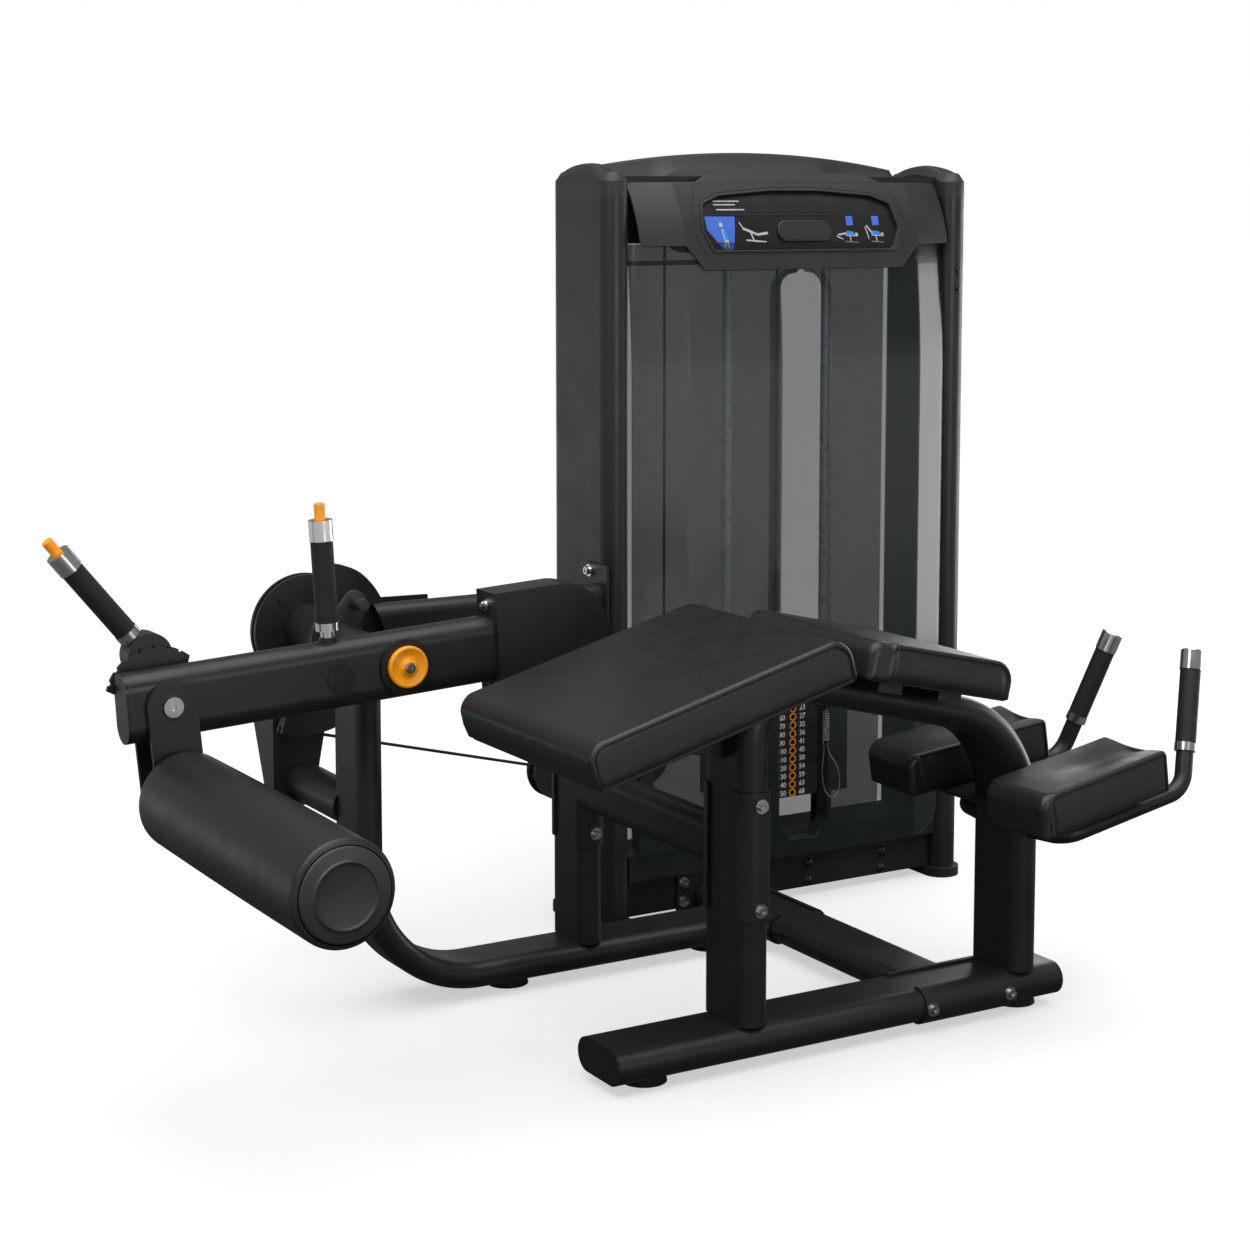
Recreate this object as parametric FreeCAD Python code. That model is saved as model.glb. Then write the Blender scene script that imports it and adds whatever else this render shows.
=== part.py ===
import FreeCAD, Part
import math
import os

V = FreeCAD.Vector

# Lying leg curl. Units are mm. X runs along the bench from the feet to the head, Y runs
# from the bench to the weight tower, Z is up. Working zero: front post, bench centre plane.
# Every node is moved at export so that zero lies under the middle of the whole machine.

# ---- overall placing -------------------------------------------------------------------
frame_shift_x = -41.15
frame_shift_y = -337.25

# ---- tube sections (flat-sided ovals) --------------------------------------------------
front_long = 140.0
front_short = 60.0
rear_long = 130.0
rear_short = 50.0
upright_long = 230.0
upright_short = 60.0
lever_long = 120.0
lever_short = 60.0
tube_wall = 3.0
saddle_wall = 5.0

# ---- frame stations --------------------------------------------------------------------
foot_bottom = 20.0
front_foot_x = (-240.0, 700.0)
front_post_x = 29.0
head_post_x = 620.0
rear_y = 575.0
rear_z = 43.0
pivot_x = -417.0
pivot_z = 677.0
base_bend_radius = 225.0
mid_post_x = 41.0
mid_post_top = 520.0
cross_x = 487.0
bench_slope = 14.4
shoulder_radius = 90.0
head_bend_radius = 200.0

# ---- tower -----------------------------------------------------------------------------
upright_x = (228.0, 1067.0)
upright_y = 845.5
upright_top = 1485.0
tower_left = 258.2
tower_right = 1036.8
stack_x = 650.0
cable_y = 803.0
plate_pitch = 18.0
plate_thick = 17.4
plate_count = 15
plates_lifted = 3
bottom_plate_z = 240.0
plate_width = 290.0
plate_depth = 140.0
rod_offset = 123.5
rod_radius = 10.0
rod_top = 1350.0
shroud_front_y = 688.0
slot_left = 588.0
slot_right = 710.0
header_front_y = 683.0

# ---- lever and cam ---------------------------------------------------------------------
lever_tilt = 3.26
lever_y = 405.0
lever_left = -497.0
lever_right = 180.0
shaft_radius = 20.0
fit_gap = 0.05
cam_thick = 26.0
cable_radius = 3.0
cable_arm = 194.0
cable_slope = -14.2
pulley_reach = 50.0
low_pulley_x = 325.0

# ---- roller ----------------------------------------------------------------------------
bracket_x = -844.0
bracket_z = 652.0
roller_x = -829.0
roller_z = 495.0
roller_radius = 83.0
roller_y = (-293.0, 361.0)
axle_radius = 12.5

os.makedirs("parts", exist_ok=True)


# ---- helpers ---------------------------------------------------------------------------
def export(name, shapes):
    if not isinstance(shapes, list):
        shapes = [shapes]
    solids = []
    for shape in shapes:
        solids.extend(shape.Solids)
    moved = []
    for solid in solids:
        copy = solid.copy()
        copy.translate(V(frame_shift_x, frame_shift_y, 0))
        moved.append(copy)
    result = moved[0] if len(moved) == 1 else Part.makeCompound(moved)
    result.exportStep("parts/" + name + ".step")
    box = result.BoundBox
    print("%-22s %2d solids  x %7.1f %7.1f  y %7.1f %7.1f  z %7.1f %7.1f  %s" % (
        name, len(moved), box.XMin, box.XMax, box.YMin, box.YMax, box.ZMin, box.ZMax,
        "ok" if all(s.isValid() for s in moved) else "INVALID"))


def oval_face(centre, long_dir, short_dir, long_size, short_size):
    radius = short_size / 2.0
    half = (long_size - short_size) / 2.0
    a = long_dir * half
    b = short_dir * radius
    tip = long_dir * (half + radius)
    corner_1 = centre + a + b
    corner_2 = centre - a + b
    corner_3 = centre - a - b
    corner_4 = centre + a - b
    edges = [
        Part.makeLine(corner_1, corner_2),
        Part.Arc(corner_2, centre - tip, corner_3).toShape(),
        Part.makeLine(corner_3, corner_4),
        Part.Arc(corner_4, centre + tip, corner_1).toShape(),
    ]
    return Part.Face(Part.Wire(edges))


def oval_bar(start, end, long_dir, long_size, short_size):
    run = end - start
    short_dir = V(run).cross(long_dir)
    short_dir.normalize()
    return oval_face(start, long_dir, short_dir, long_size, short_size).extrude(run)


def oval_tube(start, end, long_dir, long_size, short_size, wall=tube_wall):
    outer = oval_bar(start, end, long_dir, long_size, short_size)
    run = end - start
    step = V(run)
    step.normalize()
    inner = oval_bar(start - step, end + step, long_dir, long_size - 2 * wall, short_size - 2 * wall)
    return outer.cut(inner)


def oval_bend(centre, long_dir, radial, angle, radius, long_size, short_size, axis, wall=tube_wall):
    station = centre + radial * radius
    outer = oval_face(station, long_dir, radial, long_size, short_size)
    inner = oval_face(station, long_dir, radial, long_size - 2 * wall, short_size - 2 * wall)
    return outer.revolve(centre, axis, angle).cut(inner.revolve(centre, axis, angle))


def rod(start, end, radius):
    run = end - start
    return Part.makeCylinder(radius, run.Length, start, run)


def ring(start, end, radius, bore):
    run = end - start
    step = V(run)
    step.normalize()
    return rod(start, end, radius).cut(rod(start - step, end + step, bore))


def box(x0, x1, y0, y1, z0, z1):
    return Part.makeBox(x1 - x0, y1 - y0, z1 - z0, V(x0, y0, z0))


def prism(points, run):
    loop = [V(*p) for p in points]
    loop.append(loop[0])
    return Part.Face(Part.makePolygon(loop)).extrude(run)


def pipe(points, radius, bends):
    edges = []
    last = points[0]
    for i in range(1, len(points) - 1):
        into = points[i] - points[i - 1]
        out = points[i + 1] - points[i]
        into.normalize()
        out.normalize()
        half = into.getAngle(out) / 2.0
        back = bends[i - 1] * math.tan(half)
        entry = points[i] - into * back
        leave = points[i] + out * back
        side = out - into
        side.normalize()
        middle = points[i] + side * (bends[i - 1] / math.cos(half) - bends[i - 1])
        edges.append(Part.LineSegment(last, entry).toShape())
        edges.append(Part.Arc(entry, middle, leave).toShape())
        last = leave
    edges.append(Part.LineSegment(last, points[-1]).toShape())
    path = Part.Wire(edges)
    start_dir = points[1] - points[0]
    profile = Part.Wire([Part.makeCircle(radius, points[0], start_dir)])
    solid = path.makePipeShell([profile], True, False)
    return solid


def round_edges(shape, radius, wanted):
    edges = []
    for edge in shape.Edges:
        box_e = edge.BoundBox
        middle = V((box_e.XMin + box_e.XMax) / 2, (box_e.YMin + box_e.YMax) / 2,
                   (box_e.ZMin + box_e.ZMax) / 2)
        if wanted(middle, edge):
            edges.append(edge)
    return shape.makeFillet(radius, edges)


def block_in_frame(origin, along, side, up, length, width, thick):
    loop = [origin, origin + side * width, origin + side * width + up * thick, origin + up * thick, origin]
    return Part.Face(Part.makePolygon(loop)).extrude(along * length)


def lever_point(u, y, v):
    tilt = math.radians(lever_tilt)
    return V(pivot_x + u * math.cos(tilt) - v * math.sin(tilt), y,
             pivot_z + u * math.sin(tilt) + v * math.cos(tilt))


along_x = V(1, 0, 0)
along_y = V(0, 1, 0)
along_z = V(0, 0, 1)
tilt_rad = math.radians(lever_tilt)
lever_along = V(math.cos(tilt_rad), 0, math.sin(tilt_rad))
lever_up = V(-math.sin(tilt_rad), 0, math.cos(tilt_rad))
knee = V(pivot_x, 0, pivot_z)


def knee_at(y):
    return V(pivot_x, y, pivot_z)


# ---- floor frame -----------------------------------------------------------------------
foot_z = foot_bottom + front_short / 2.0
foot_top = foot_bottom + front_short
front_foot = oval_tube(V(front_foot_x[0], 0, foot_z), V(front_foot_x[1], 0, foot_z), along_y, front_long,
                       front_short)
export("front_foot", front_foot)

foot_caps = []
for x, way in ((front_foot_x[0], -1), (front_foot_x[1], 1)):
    cap = oval_bar(V(x, 0, foot_z), V(x + way * 5, 0, foot_z), along_y, front_long, front_short)
    plug = oval_bar(V(x, 0, foot_z), V(x - way * 14, 0, foot_z), along_y, front_long - 6.2,
                    front_short - 6.2)
    foot_caps.append(cap.fuse(plug))
mid_cap = oval_bar(V(mid_post_x, rear_y, mid_post_top), V(mid_post_x, rear_y, mid_post_top + 5),
                   along_y, rear_long, rear_short)
foot_caps.append(mid_cap)

pads_under = []
for x in (-154.0, 649.0):
    pads_under.append(Part.makeCone(40, 36, foot_bottom, V(x, 4, 0), along_z))
pads_under.append(Part.makeCone(40, 36, rear_z - rear_short / 2.0, V(-111, rear_y + 4, 0), along_z))
pads_under.append(Part.makeCone(40, 36, rear_z - rear_short / 2.0, V(340, rear_y, 0), along_z))
for x in upright_x:
    pads_under.append(oval_bar(V(x, upright_y, 0), V(x, upright_y, 20), along_y, upright_long + 20,
                               upright_short + 20))
export("rubber_feet", pads_under)

front_post = oval_tube(V(front_post_x, 0, foot_top), V(front_post_x, 0, 572), along_y, front_long,
                       front_short)
export("front_post", front_post)

# bench rail: a bend out of the front post, then a straight run falling towards the head
slope = math.radians(bench_slope)
slope_dir = V(math.cos(slope), 0, -math.sin(slope))
slope_up = V(math.sin(slope), 0, math.cos(slope))
shoulder = V(front_post_x + shoulder_radius, 0, 572)
shoulder_turn = 90 + bench_slope
rail_bend = oval_bend(shoulder, along_y, V(-1, 0, 0), shoulder_turn, shoulder_radius,
                      front_long, front_short, along_y)
rail_start = shoulder + slope_up * shoulder_radius
head_centre = V(head_post_x - head_bend_radius, 0, 381)
rail_end = head_centre + slope_up * head_bend_radius
rail_end = rail_start + slope_dir * (rail_end - rail_start).dot(slope_dir)
rail_run = oval_tube(rail_start, rail_end, along_y, front_long, front_short)
export("bench_rail", rail_bend.fuse(rail_run).removeSplitter())
head_centre = rail_end - slope_up * head_bend_radius
head_x = head_centre.x + head_bend_radius
head_bend = oval_bend(head_centre, along_y, slope_up, 90 - bench_slope, head_bend_radius,
                      front_long, front_short, along_y)
head_post = oval_tube(V(head_x, 0, foot_top), V(head_x, 0, head_centre.z), along_y, front_long, front_short)
export("head_post", [head_post, head_bend])
print("head post x", round(head_x, 1), "head bend centre z", round(head_centre.z, 1))

# rear base, bend and pivot post
bend_centre = V(pivot_x + base_bend_radius, rear_y, rear_z + base_bend_radius)
cross_solid = oval_bar(V(cross_x, 60, rear_z), V(cross_x, 760, rear_z), along_x,
                       rear_long + 2 * saddle_wall, rear_short + 2 * saddle_wall)
rear_base = oval_tube(V(bend_centre.x, rear_y, rear_z), V(cross_x - 50, rear_y, rear_z), along_y,
                      rear_long, rear_short)
rear_base = rear_base.cut(cross_solid)
base_bend = oval_bend(bend_centre, along_y, V(0, 0, -1), 90, base_bend_radius, rear_long, rear_short,
                      along_y)

housing = rod(knee_at(rear_y - 75), knee_at(rear_y + 75), 32)
post_bore = rod(knee_at(rear_y - 80), knee_at(rear_y + 80), shaft_radius + fit_gap)
pivot_post = oval_tube(V(pivot_x, rear_y, bend_centre.z), V(pivot_x, rear_y, 682), along_y, rear_long,
                       rear_short)
pivot_post = pivot_post.fuse(housing).cut(post_bore).removeSplitter()
export("pivot_post", [pivot_post, base_bend])

mid_post = oval_tube(V(mid_post_x, rear_y, rear_z + rear_short / 2.0), V(mid_post_x, rear_y, mid_post_top),
                     along_y, rear_long, rear_short)

foot_saddle_bar = oval_bar(V(cross_x - 120, 0, foot_z), V(cross_x + 120, 0, foot_z), along_y,
                           front_long + 2 * saddle_wall, front_short + 2 * saddle_wall)
cross_tube = oval_tube(V(cross_x, 50, rear_z), V(cross_x, 759, rear_z), along_x, rear_long, rear_short)
cross_tube = cross_tube.cut(foot_saddle_bar)
export("rear_base", [rear_base, cross_tube])

link_z = 376.0
link_x = 35.0
front_ring = oval_bar(V(front_post_x, 0, 200), V(front_post_x, 0, 560), along_y,
                      front_long + 2 * saddle_wall, front_short + 2 * saddle_wall)
mid_ring = oval_bar(V(mid_post_x, rear_y, 200), V(mid_post_x, rear_y, 560), along_y,
                    rear_long + 2 * saddle_wall, rear_short + 2 * saddle_wall)
link_tube = oval_tube(V(link_x, 50, link_z), V(link_x, 530, link_z), along_z, 90, 50)
link_tube = link_tube.cut(front_ring).cut(mid_ring)
export("mid_post", [mid_post, link_tube])


# saddle plates hug a tube's rounded side and carry the bolts of each joint
def saddle(start, end, long_dir, long_size, short_size, clip):
    outer = oval_bar(start, end, long_dir, long_size + 2 * saddle_wall, short_size + 2 * saddle_wall)
    step = V(end - start)
    step.normalize()
    inner = oval_bar(start - step * 5, end + step * 5, long_dir, long_size + 0.1, short_size + 0.1)
    return outer.cut(inner).common(clip)


saddles = []
for y0, y1 in ((-120, -38), (38, 120)):
    saddles.append(saddle(V(front_post_x, 0, 266), V(front_post_x, 0, 490), along_y, front_long, front_short,
                          box(-100, 200, y0, y1, 200, 560)))
for y0, y1 in ((rear_y - 110, rear_y - 38), (rear_y + 38, rear_y + 110)):
    saddles.append(saddle(V(mid_post_x, rear_y, 262), V(mid_post_x, rear_y, 490), along_y, rear_long,
                          rear_short,
                          box(-100, 200, y0, y1, 200, 560)))
for y0, y1 in ((-120, -38), (38, 120)):
    saddles.append(saddle(V(cross_x - 100, 0, foot_z), V(cross_x + 100, 0, foot_z), along_y, front_long,
                          front_short,
                          box(0, 800, y0, y1, 0, 200)))
for x0, x1 in ((cross_x - 110, cross_x - 38), (cross_x + 38, cross_x + 110)):
    saddles.append(saddle(V(cross_x, rear_y - 100, rear_z), V(cross_x, rear_y + 100, rear_z), along_x,
                          rear_long, rear_short, box(x0, x1, 300, 760, 0, 200)))

flanges = []
flanges.append(box(cross_x - 106, cross_x + 106, 759, 765, 18, 94))
flanges.append(box(192, 198, 722, 812, 566, 758))
export("joint_plates", saddles + flanges)


def bolt(point, way):
    washer = rod(point, point + way * 3, 12.5)
    head = rod(point + way * 3, point + way * 11, 8)
    socket = rod(point + way * 6, point + way * 12, 4)
    return washer.fuse(head).cut(socket)


bolts = []
near = V(0, -1, 0)
for z in (286, 467):
    bolts.append(bolt(V(front_post_x, -front_long / 2 - saddle_wall, z), near))
    bolts.append(bolt(V(mid_post_x, rear_y - rear_long / 2 - saddle_wall, z), near))
for x in (cross_x - 88, cross_x + 88):
    bolts.append(bolt(V(x, -front_long / 2 - saddle_wall, foot_z), near))
    for z in (37, 76):
        bolts.append(bolt(V(x + (-2 if x < cross_x else 2), 759, z), near))
for y in (rear_y - 85, rear_y + 85):
    bolts.append(bolt(V(cross_x - rear_long / 2 - saddle_wall, y, rear_z), V(-1, 0, 0)))
for z in (584, 742):
    bolts.append(bolt(V(192, 790, z), V(-1, 0, 0)))
export("frame_bolts", bolts)

# ---- rear bearing bracket, brace and beam ----------------------------------------------
brace = rod(V(pivot_x + 4, rear_y + 40, 375), V(pivot_x + 4, 829, 375), 38)
brace_bore = rod(V(pivot_x + 4, rear_y + 30, 375), V(pivot_x + 4, 840, 375), 34)
post_solid = oval_bar(V(pivot_x, rear_y, 280), V(pivot_x, rear_y, 600), along_y, rear_long, rear_short)
brace = brace.cut(brace_bore).cut(post_solid)

plate = prism(((-478, 829, 330), (-398, 829, 330), (-372, 829, 470), (-372, 829, 610), (-150, 829, 610),
               (-150, 829, 716), (-440, 829, 722), (-478, 829, 690)), V(0, 8, 0))
wing = prism(((-478, 837, 330), (-478, 862, 330), (-478, 925, 480), (-478, 925, 600), (-478, 837, 640)),
             V(6, 0, 0))
boss = rod(knee_at(837), knee_at(857), 34)
bracket = plate.fuse(wing).fuse(boss)
bracket = bracket.cut(rod(knee_at(820), knee_at(870), shaft_radius + fit_gap)).removeSplitter()
export("rear_bearing_bracket", [bracket, brace])

beam_y = 762.0
beam = oval_tube(V(-300, beam_y, 665), V(192, beam_y, 665), along_z, 110, 50)
beam = beam.cut(prism(((-330, 700, 725), (-305, 700, 725), (-262, 700, 605), (-330, 700, 605)),
                      V(0, 120, 0)))
beam_tab = box(-195, -150, 787, 829, 625, 705)
tab_end = box(-195, -150, 760, 787, 640, 690).cut(oval_bar(V(-330, beam_y, 665), V(192, beam_y, 665),
                                                           along_z, 110, 50))
beam = beam.fuse(beam_tab).fuse(tab_end).removeSplitter()
export("side_beam", beam)

# ---- tower -----------------------------------------------------------------------------
left_upright = oval_tube(V(upright_x[0], upright_y, 20), V(upright_x[0], upright_y, upright_top), along_y,
                         upright_long, upright_short)
left_upright = left_upright.cut(box(180, 280, cable_y - 16, cable_y + 16, 284, 346))
right_upright = oval_tube(V(upright_x[1], upright_y, 20), V(upright_x[1], upright_y, upright_top), along_y,
                          upright_long, upright_short)
export("tower_uprights", [left_upright, right_upright])

caps = []
for x in upright_x:
    cap = oval_bar(V(x, upright_y, upright_top), V(x, upright_y, 1556), along_y, upright_long, upright_short)
    cap = round_edges(cap, 12, lambda m, e: m.z > 1555.9)
    caps.append(cap)
export("upright_caps", caps)

rail = box(tower_left, tower_right, 765, 825, 20.3,
           98).cut(box(tower_left - 1, tower_right + 1, 769, 821, 24, 94))
stack_base = box(tower_left, tower_right, 746, 873, 98, 150)
stack_base = stack_base.cut(box(tower_left - 1, tower_right + 1, 750, 869, 98, 146))
rear_rail = box(tower_left, tower_right, 920, 950, 30,
                80).cut(box(tower_left - 1, tower_right + 1, 923, 947, 33, 77))
top_beam = box(tower_left, tower_right, 773, 833, 1492, 1528)
top_beam = top_beam.cut(box(tower_left - 1, tower_right + 1, 777, 829, 1496, 1524))
rod_bar = box(tower_left, tower_right, 773, 833, rod_top, rod_top + 8)
for x in (stack_x, low_pulley_x + pulley_reach):
    rod_bar = rod_bar.cut(rod(V(x, cable_y, rod_top - 5), V(x, cable_y, rod_top + 15), 12))
export("tower_rails", [rail, stack_base, rear_rail, top_beam, rod_bar])

plugs = []
for x, z in ((714, 70), (714, 33), (907, 70), (907, 33)):
    dome = Part.makeSphere(14, V(x, 773, z)).common(box(x - 20, x + 20, 740, 765, z - 20, z + 20))
    plugs.append(dome)
export("end_caps", foot_caps + plugs)


# header: a bulged cover with a crowned top, open below, with a sloping lower edge in front
def header_plan(inset):
    points = ((tower_left + inset, 735 + inset), (350 + inset * 0.6, header_front_y + inset),
              (944 - inset * 0.6, header_front_y + inset), (tower_right - inset, 735 + inset),
              (tower_right - inset, 965 - inset), (tower_left + inset, 965 - inset))
    return prism([(p[0], p[1], 1300) for p in points], V(0, 0, 300))


def header_side(inset):
    middle = (tower_left + tower_right) / 2
    crown = Part.Arc(V(tower_left - 2, 600, 1547 - inset), V(middle, 600, 1579 - inset),
                     V(tower_right + 2, 600, 1547 - inset)).toShape()
    lower_edge = ((tower_right + 2, 1547), (tower_right + 2, 1389), (934, 1389), (890, 1340), (405, 1340),
                  (361, 1389), (tower_left - 2, 1389), (tower_left - 2, 1547))
    corners = [V(x, 600, z - inset) for x, z in lower_edge]
    edges = [crown]
    for a, b in zip(corners[:-1], corners[1:]):
        edges.append(Part.makeLine(a, b))
    return Part.Face(Part.Wire(edges)).extrude(V(0, 500, 0))


header = header_plan(0).common(header_side(0))
hollow = header_plan(4).common(header_side(4)).fuse(header_plan(4).common(box(0, 1300, 600, 1100, 1300,
                                                                              1392)))
header = header.cut(hollow)
header = header.cut(box(tower_left - 5, tower_right + 5, 739, 1100, 1300, 1389))
header = header.cut(box(tower_left - 5, tower_right + 5, 739, 961, 1300, 1545))
export("header_cover", header)

badge_mid_x = 647.5
badge = box(badge_mid_x - 231, badge_mid_x + 231, header_front_y - 5, header_front_y, 1378, 1494)
badge = round_edges(badge, 22, lambda m, e: abs(m.y - header_front_y + 2.5) < 0.1)
recess = box(badge_mid_x - 223, badge_mid_x + 223, header_front_y - 13, header_front_y - 3, 1386, 1486)
recess = round_edges(recess, 16, lambda m, e: abs(m.y - header_front_y + 8) < 0.1)
pill = oval_bar(V(badge_mid_x, header_front_y - 3, 1417), V(badge_mid_x, header_front_y - 4.8, 1417), along_x,
                134, 43)
export("badge_panel", [badge.cut(recess), pill])


# clear front shroud: faceted sheet with a slot whose edges turn inwards
def sheet_run(points, z0, z1, thick):
    faces = []
    n = len(points)
    offset = []
    for i in range(n):
        if i == 0:
            d = points[1] - points[0]
        elif i == n - 1:
            d = points[-1] - points[-2]
        else:
            a = points[i] - points[i - 1]
            b = points[i + 1] - points[i]
            a.normalize()
            b.normalize()
            d = a + b
        d.normalize()
        side = V(-d.y, d.x, 0)
        scale = 1.0
        if 0 < i < n - 1:
            a = points[i] - points[i - 1]
            a.normalize()
            scale = 1.0 / max(0.3, a.dot(d))
        offset.append(points[i] + side * thick * scale)
    loop = points + offset[::-1]
    loop = [V(p.x, p.y, z0) for p in loop]
    loop.append(loop[0])
    faces.append(Part.Face(Part.makePolygon(loop)))
    return faces[0].extrude(V(0, 0, z1 - z0))


left_sheet = sheet_run([V(tower_left, 740, 0), V(356, shroud_front_y, 0), V(slot_left, shroud_front_y, 0),
                        V(slot_left, 729, 0)], 117, 1380, 4)
right_sheet = sheet_run([V(slot_right, 729, 0), V(slot_right, shroud_front_y, 0), V(936, shroud_front_y, 0),
                         V(tower_right, 740, 0)], 117, 1380, 4)
slot_span = [V(slot_left - 4, shroud_front_y, 0), V(slot_right + 4, shroud_front_y, 0)]
lower_sheet = sheet_run(slot_span, 117, 152, 4)
upper_sheet = sheet_run(slot_span, 1330, 1380, 4)
shroud = left_sheet.fuse(right_sheet).fuse(lower_sheet).fuse(upper_sheet).removeSplitter()
for side_x, way in ((tower_left, 1), (tower_right, -1)):
    corner_x = side_x + way * 75
    cutter = box(min(side_x - 5 * way, corner_x), max(side_x - 5 * way, corner_x), 600, 760, 100, 192)
    cutter = cutter.cut(rod(V(corner_x, 590, 192), V(corner_x, 770, 192), 75))
    shroud = shroud.cut(cutter)
rear_shroud = box(tower_left, tower_right, 955, 959, 117, 1385)
export("tower_shroud", [shroud, rear_shroud])

# guide rods, bumpers and the plate stack
rods = []
bumpers = []
for side in (-1, 1):
    x = stack_x + side * rod_offset
    rods.append(rod(V(x, cable_y, 150), V(x, cable_y, rod_top), rod_radius))
    bumpers.append(ring(V(x, cable_y, 150), V(x, cable_y, bottom_plate_z - plate_thick / 2), 22,
                        rod_radius + fit_gap))
export("guide_rods", rods)
export("stack_bumpers", bumpers)


def stack_plate(z):
    body = box(stack_x - plate_width / 2, stack_x + plate_width / 2, cable_y - plate_depth / 2,
               cable_y + plate_depth / 2, z - plate_thick / 2, z + plate_thick / 2)
    body = round_edges(body, 8, lambda m, e: abs(m.z - z) < 0.1)
    for side in (-1, 1):
        x = stack_x + side * rod_offset
        body = body.cut(rod(V(x, cable_y, z - 20), V(x, cable_y, z + 20), rod_radius + 1.0))
    body = body.cut(rod(V(stack_x, cable_y, z - 20), V(stack_x, cable_y, z + 20), 12.0))
    body = body.cut(rod(V(stack_x, cable_y - 100, z), V(stack_x, cable_y, z), 5.05))
    return body


def plate_z(number):
    return bottom_plate_z + plate_pitch * (plate_count - number)


resting = [stack_plate(plate_z(k)) for k in range(plates_lifted + 1, plate_count + 1)]
export("stack_plates_resting", resting)
lifted = [stack_plate(plate_z(k)) for k in range(1, plates_lifted + 1)]
export("stack_plates_lifted", lifted)

stack_top = plate_z(1) + plate_thick / 2
stem = rod(V(stack_x, cable_y, 170), V(stack_x, cable_y, stack_top + 10), 11)
head = box(stack_x - 140, stack_x + 140, cable_y - 45, cable_y + 45, stack_top + 0.6, stack_top + 24)
head = round_edges(head, 10, lambda m, e: abs(m.z - stack_top - 12.3) < 0.1)
for side in (-1, 1):
    x = stack_x + side * rod_offset
    head = head.cut(rod(V(x, cable_y, 480), V(x, cable_y, 560), rod_radius + 1.0))
collar = rod(V(stack_x, cable_y, stack_top + 24), V(stack_x, cable_y, stack_top + 60), 13)
stem = stem.fuse(head).fuse(collar).cut(rod(V(stack_x, cable_y, 160), V(stack_x, cable_y, 640), 4.0))
for k in range(1, plate_count + 1):
    stem = stem.cut(rod(V(stack_x, cable_y - 20, plate_z(k)), V(stack_x, cable_y, plate_z(k)), 5.05))
export("selector_stem", stem)

pin_z = plate_z(plates_lifted)
pin = rod(V(stack_x, 660, pin_z), V(stack_x, cable_y - 4.8, pin_z), 4.8)
knob = rod(V(stack_x, 634, pin_z), V(stack_x, 662, pin_z), 15)
knob = round_edges(knob, 4, lambda m, e: m.y < 634.1)
eye = box(stack_x + 12, stack_x + 31, 648, 656, pin_z - 4, pin_z + 4)
ferrule = rod(V(stack_x + 27, 652, pin_z - 24), V(stack_x + 27, 652, pin_z - 3), 3)
export("selector_pin", pin.fuse(knob).fuse(eye).fuse(ferrule).removeSplitter())

# ---- pulleys and the drive cable -------------------------------------------------------
slope_c = math.radians(cable_slope)
cable_dir = V(math.cos(slope_c), 0, math.sin(slope_c))
cable_down = V(math.sin(slope_c), 0, -math.cos(slope_c))
cable_start = knee_at(cable_y) + cable_down * cable_arm
low_z = cable_start.z + (low_pulley_x - cable_start.x) * math.tan(slope_c) + pulley_reach / math.cos(slope_c)
low_centre = V(low_pulley_x, cable_y, low_z)
top_z = 1430.0
top_left = V(low_pulley_x + 2 * pulley_reach, cable_y, top_z)
top_right = V(stack_x - pulley_reach, cable_y, top_z)
cable_end = V(stack_x, cable_y, stack_top + 60)

low_in = low_centre + cable_down * pulley_reach
mid_angle = (slope_c - math.pi / 2) / 2.0
low_mid = low_centre + V(math.cos(mid_angle), 0, math.sin(mid_angle)) * pulley_reach
low_out = low_centre + V(pulley_reach, 0, 0)
left_in = top_left - V(pulley_reach, 0, 0)
left_mid = top_left + V(-math.cos(math.pi / 4), 0, math.sin(math.pi / 4)) * pulley_reach
left_out = top_left + V(0, 0, pulley_reach)
right_in = top_right + V(0, 0, pulley_reach)
right_mid = top_right + V(math.cos(math.pi / 4), 0, math.sin(math.pi / 4)) * pulley_reach
right_out = top_right + V(pulley_reach, 0, 0)
cable_path = Part.Wire([
    Part.LineSegment(cable_start, low_in).toShape(),
    Part.Arc(low_in, low_mid, low_out).toShape(),
    Part.LineSegment(low_out, left_in).toShape(),
    Part.Arc(left_in, left_mid, left_out).toShape(),
    Part.LineSegment(left_out, right_in).toShape(),
    Part.Arc(right_in, right_mid, right_out).toShape(),
])
cable_ring = Part.Wire([Part.makeCircle(cable_radius, cable_start, cable_dir)])
cable = cable_path.makePipeShell([cable_ring], True, False)
export("drive_cable", cable)
export("cable_drop", rod(cable_end, right_out, cable_radius))
print("cable length", round(cable_path.Length), "low pulley", round(low_z, 1), "section check",
      round(cable.Volume / (math.pi * cable_radius ** 2), 1))


def pulley(centre, reach, width):
    body = rod(centre - V(0, width / 2, 0), centre + V(0, width / 2, 0), reach + 6)
    groove = ring(centre - V(0, 4.0, 0), centre + V(0, 4.0, 0), reach + 10, reach - cable_radius - 0.3)
    body = body.cut(groove)
    for k in range(5):
        angle = 2 * math.pi * k / 5
        at = centre + V(math.cos(angle), 0, math.sin(angle)) * (reach * 0.58)
        body = body.cut(rod(at - V(0, width, 0), at + V(0, width, 0), reach * 0.17))
    return body.cut(rod(centre - V(0, width, 0), centre + V(0, width, 0), 8 + fit_gap))


export("pulley_low", pulley(low_centre, pulley_reach, 20))
export("pulley_top_left", pulley(top_left, pulley_reach, 20))
export("pulley_top_right", pulley(top_right, pulley_reach, 20))

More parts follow.
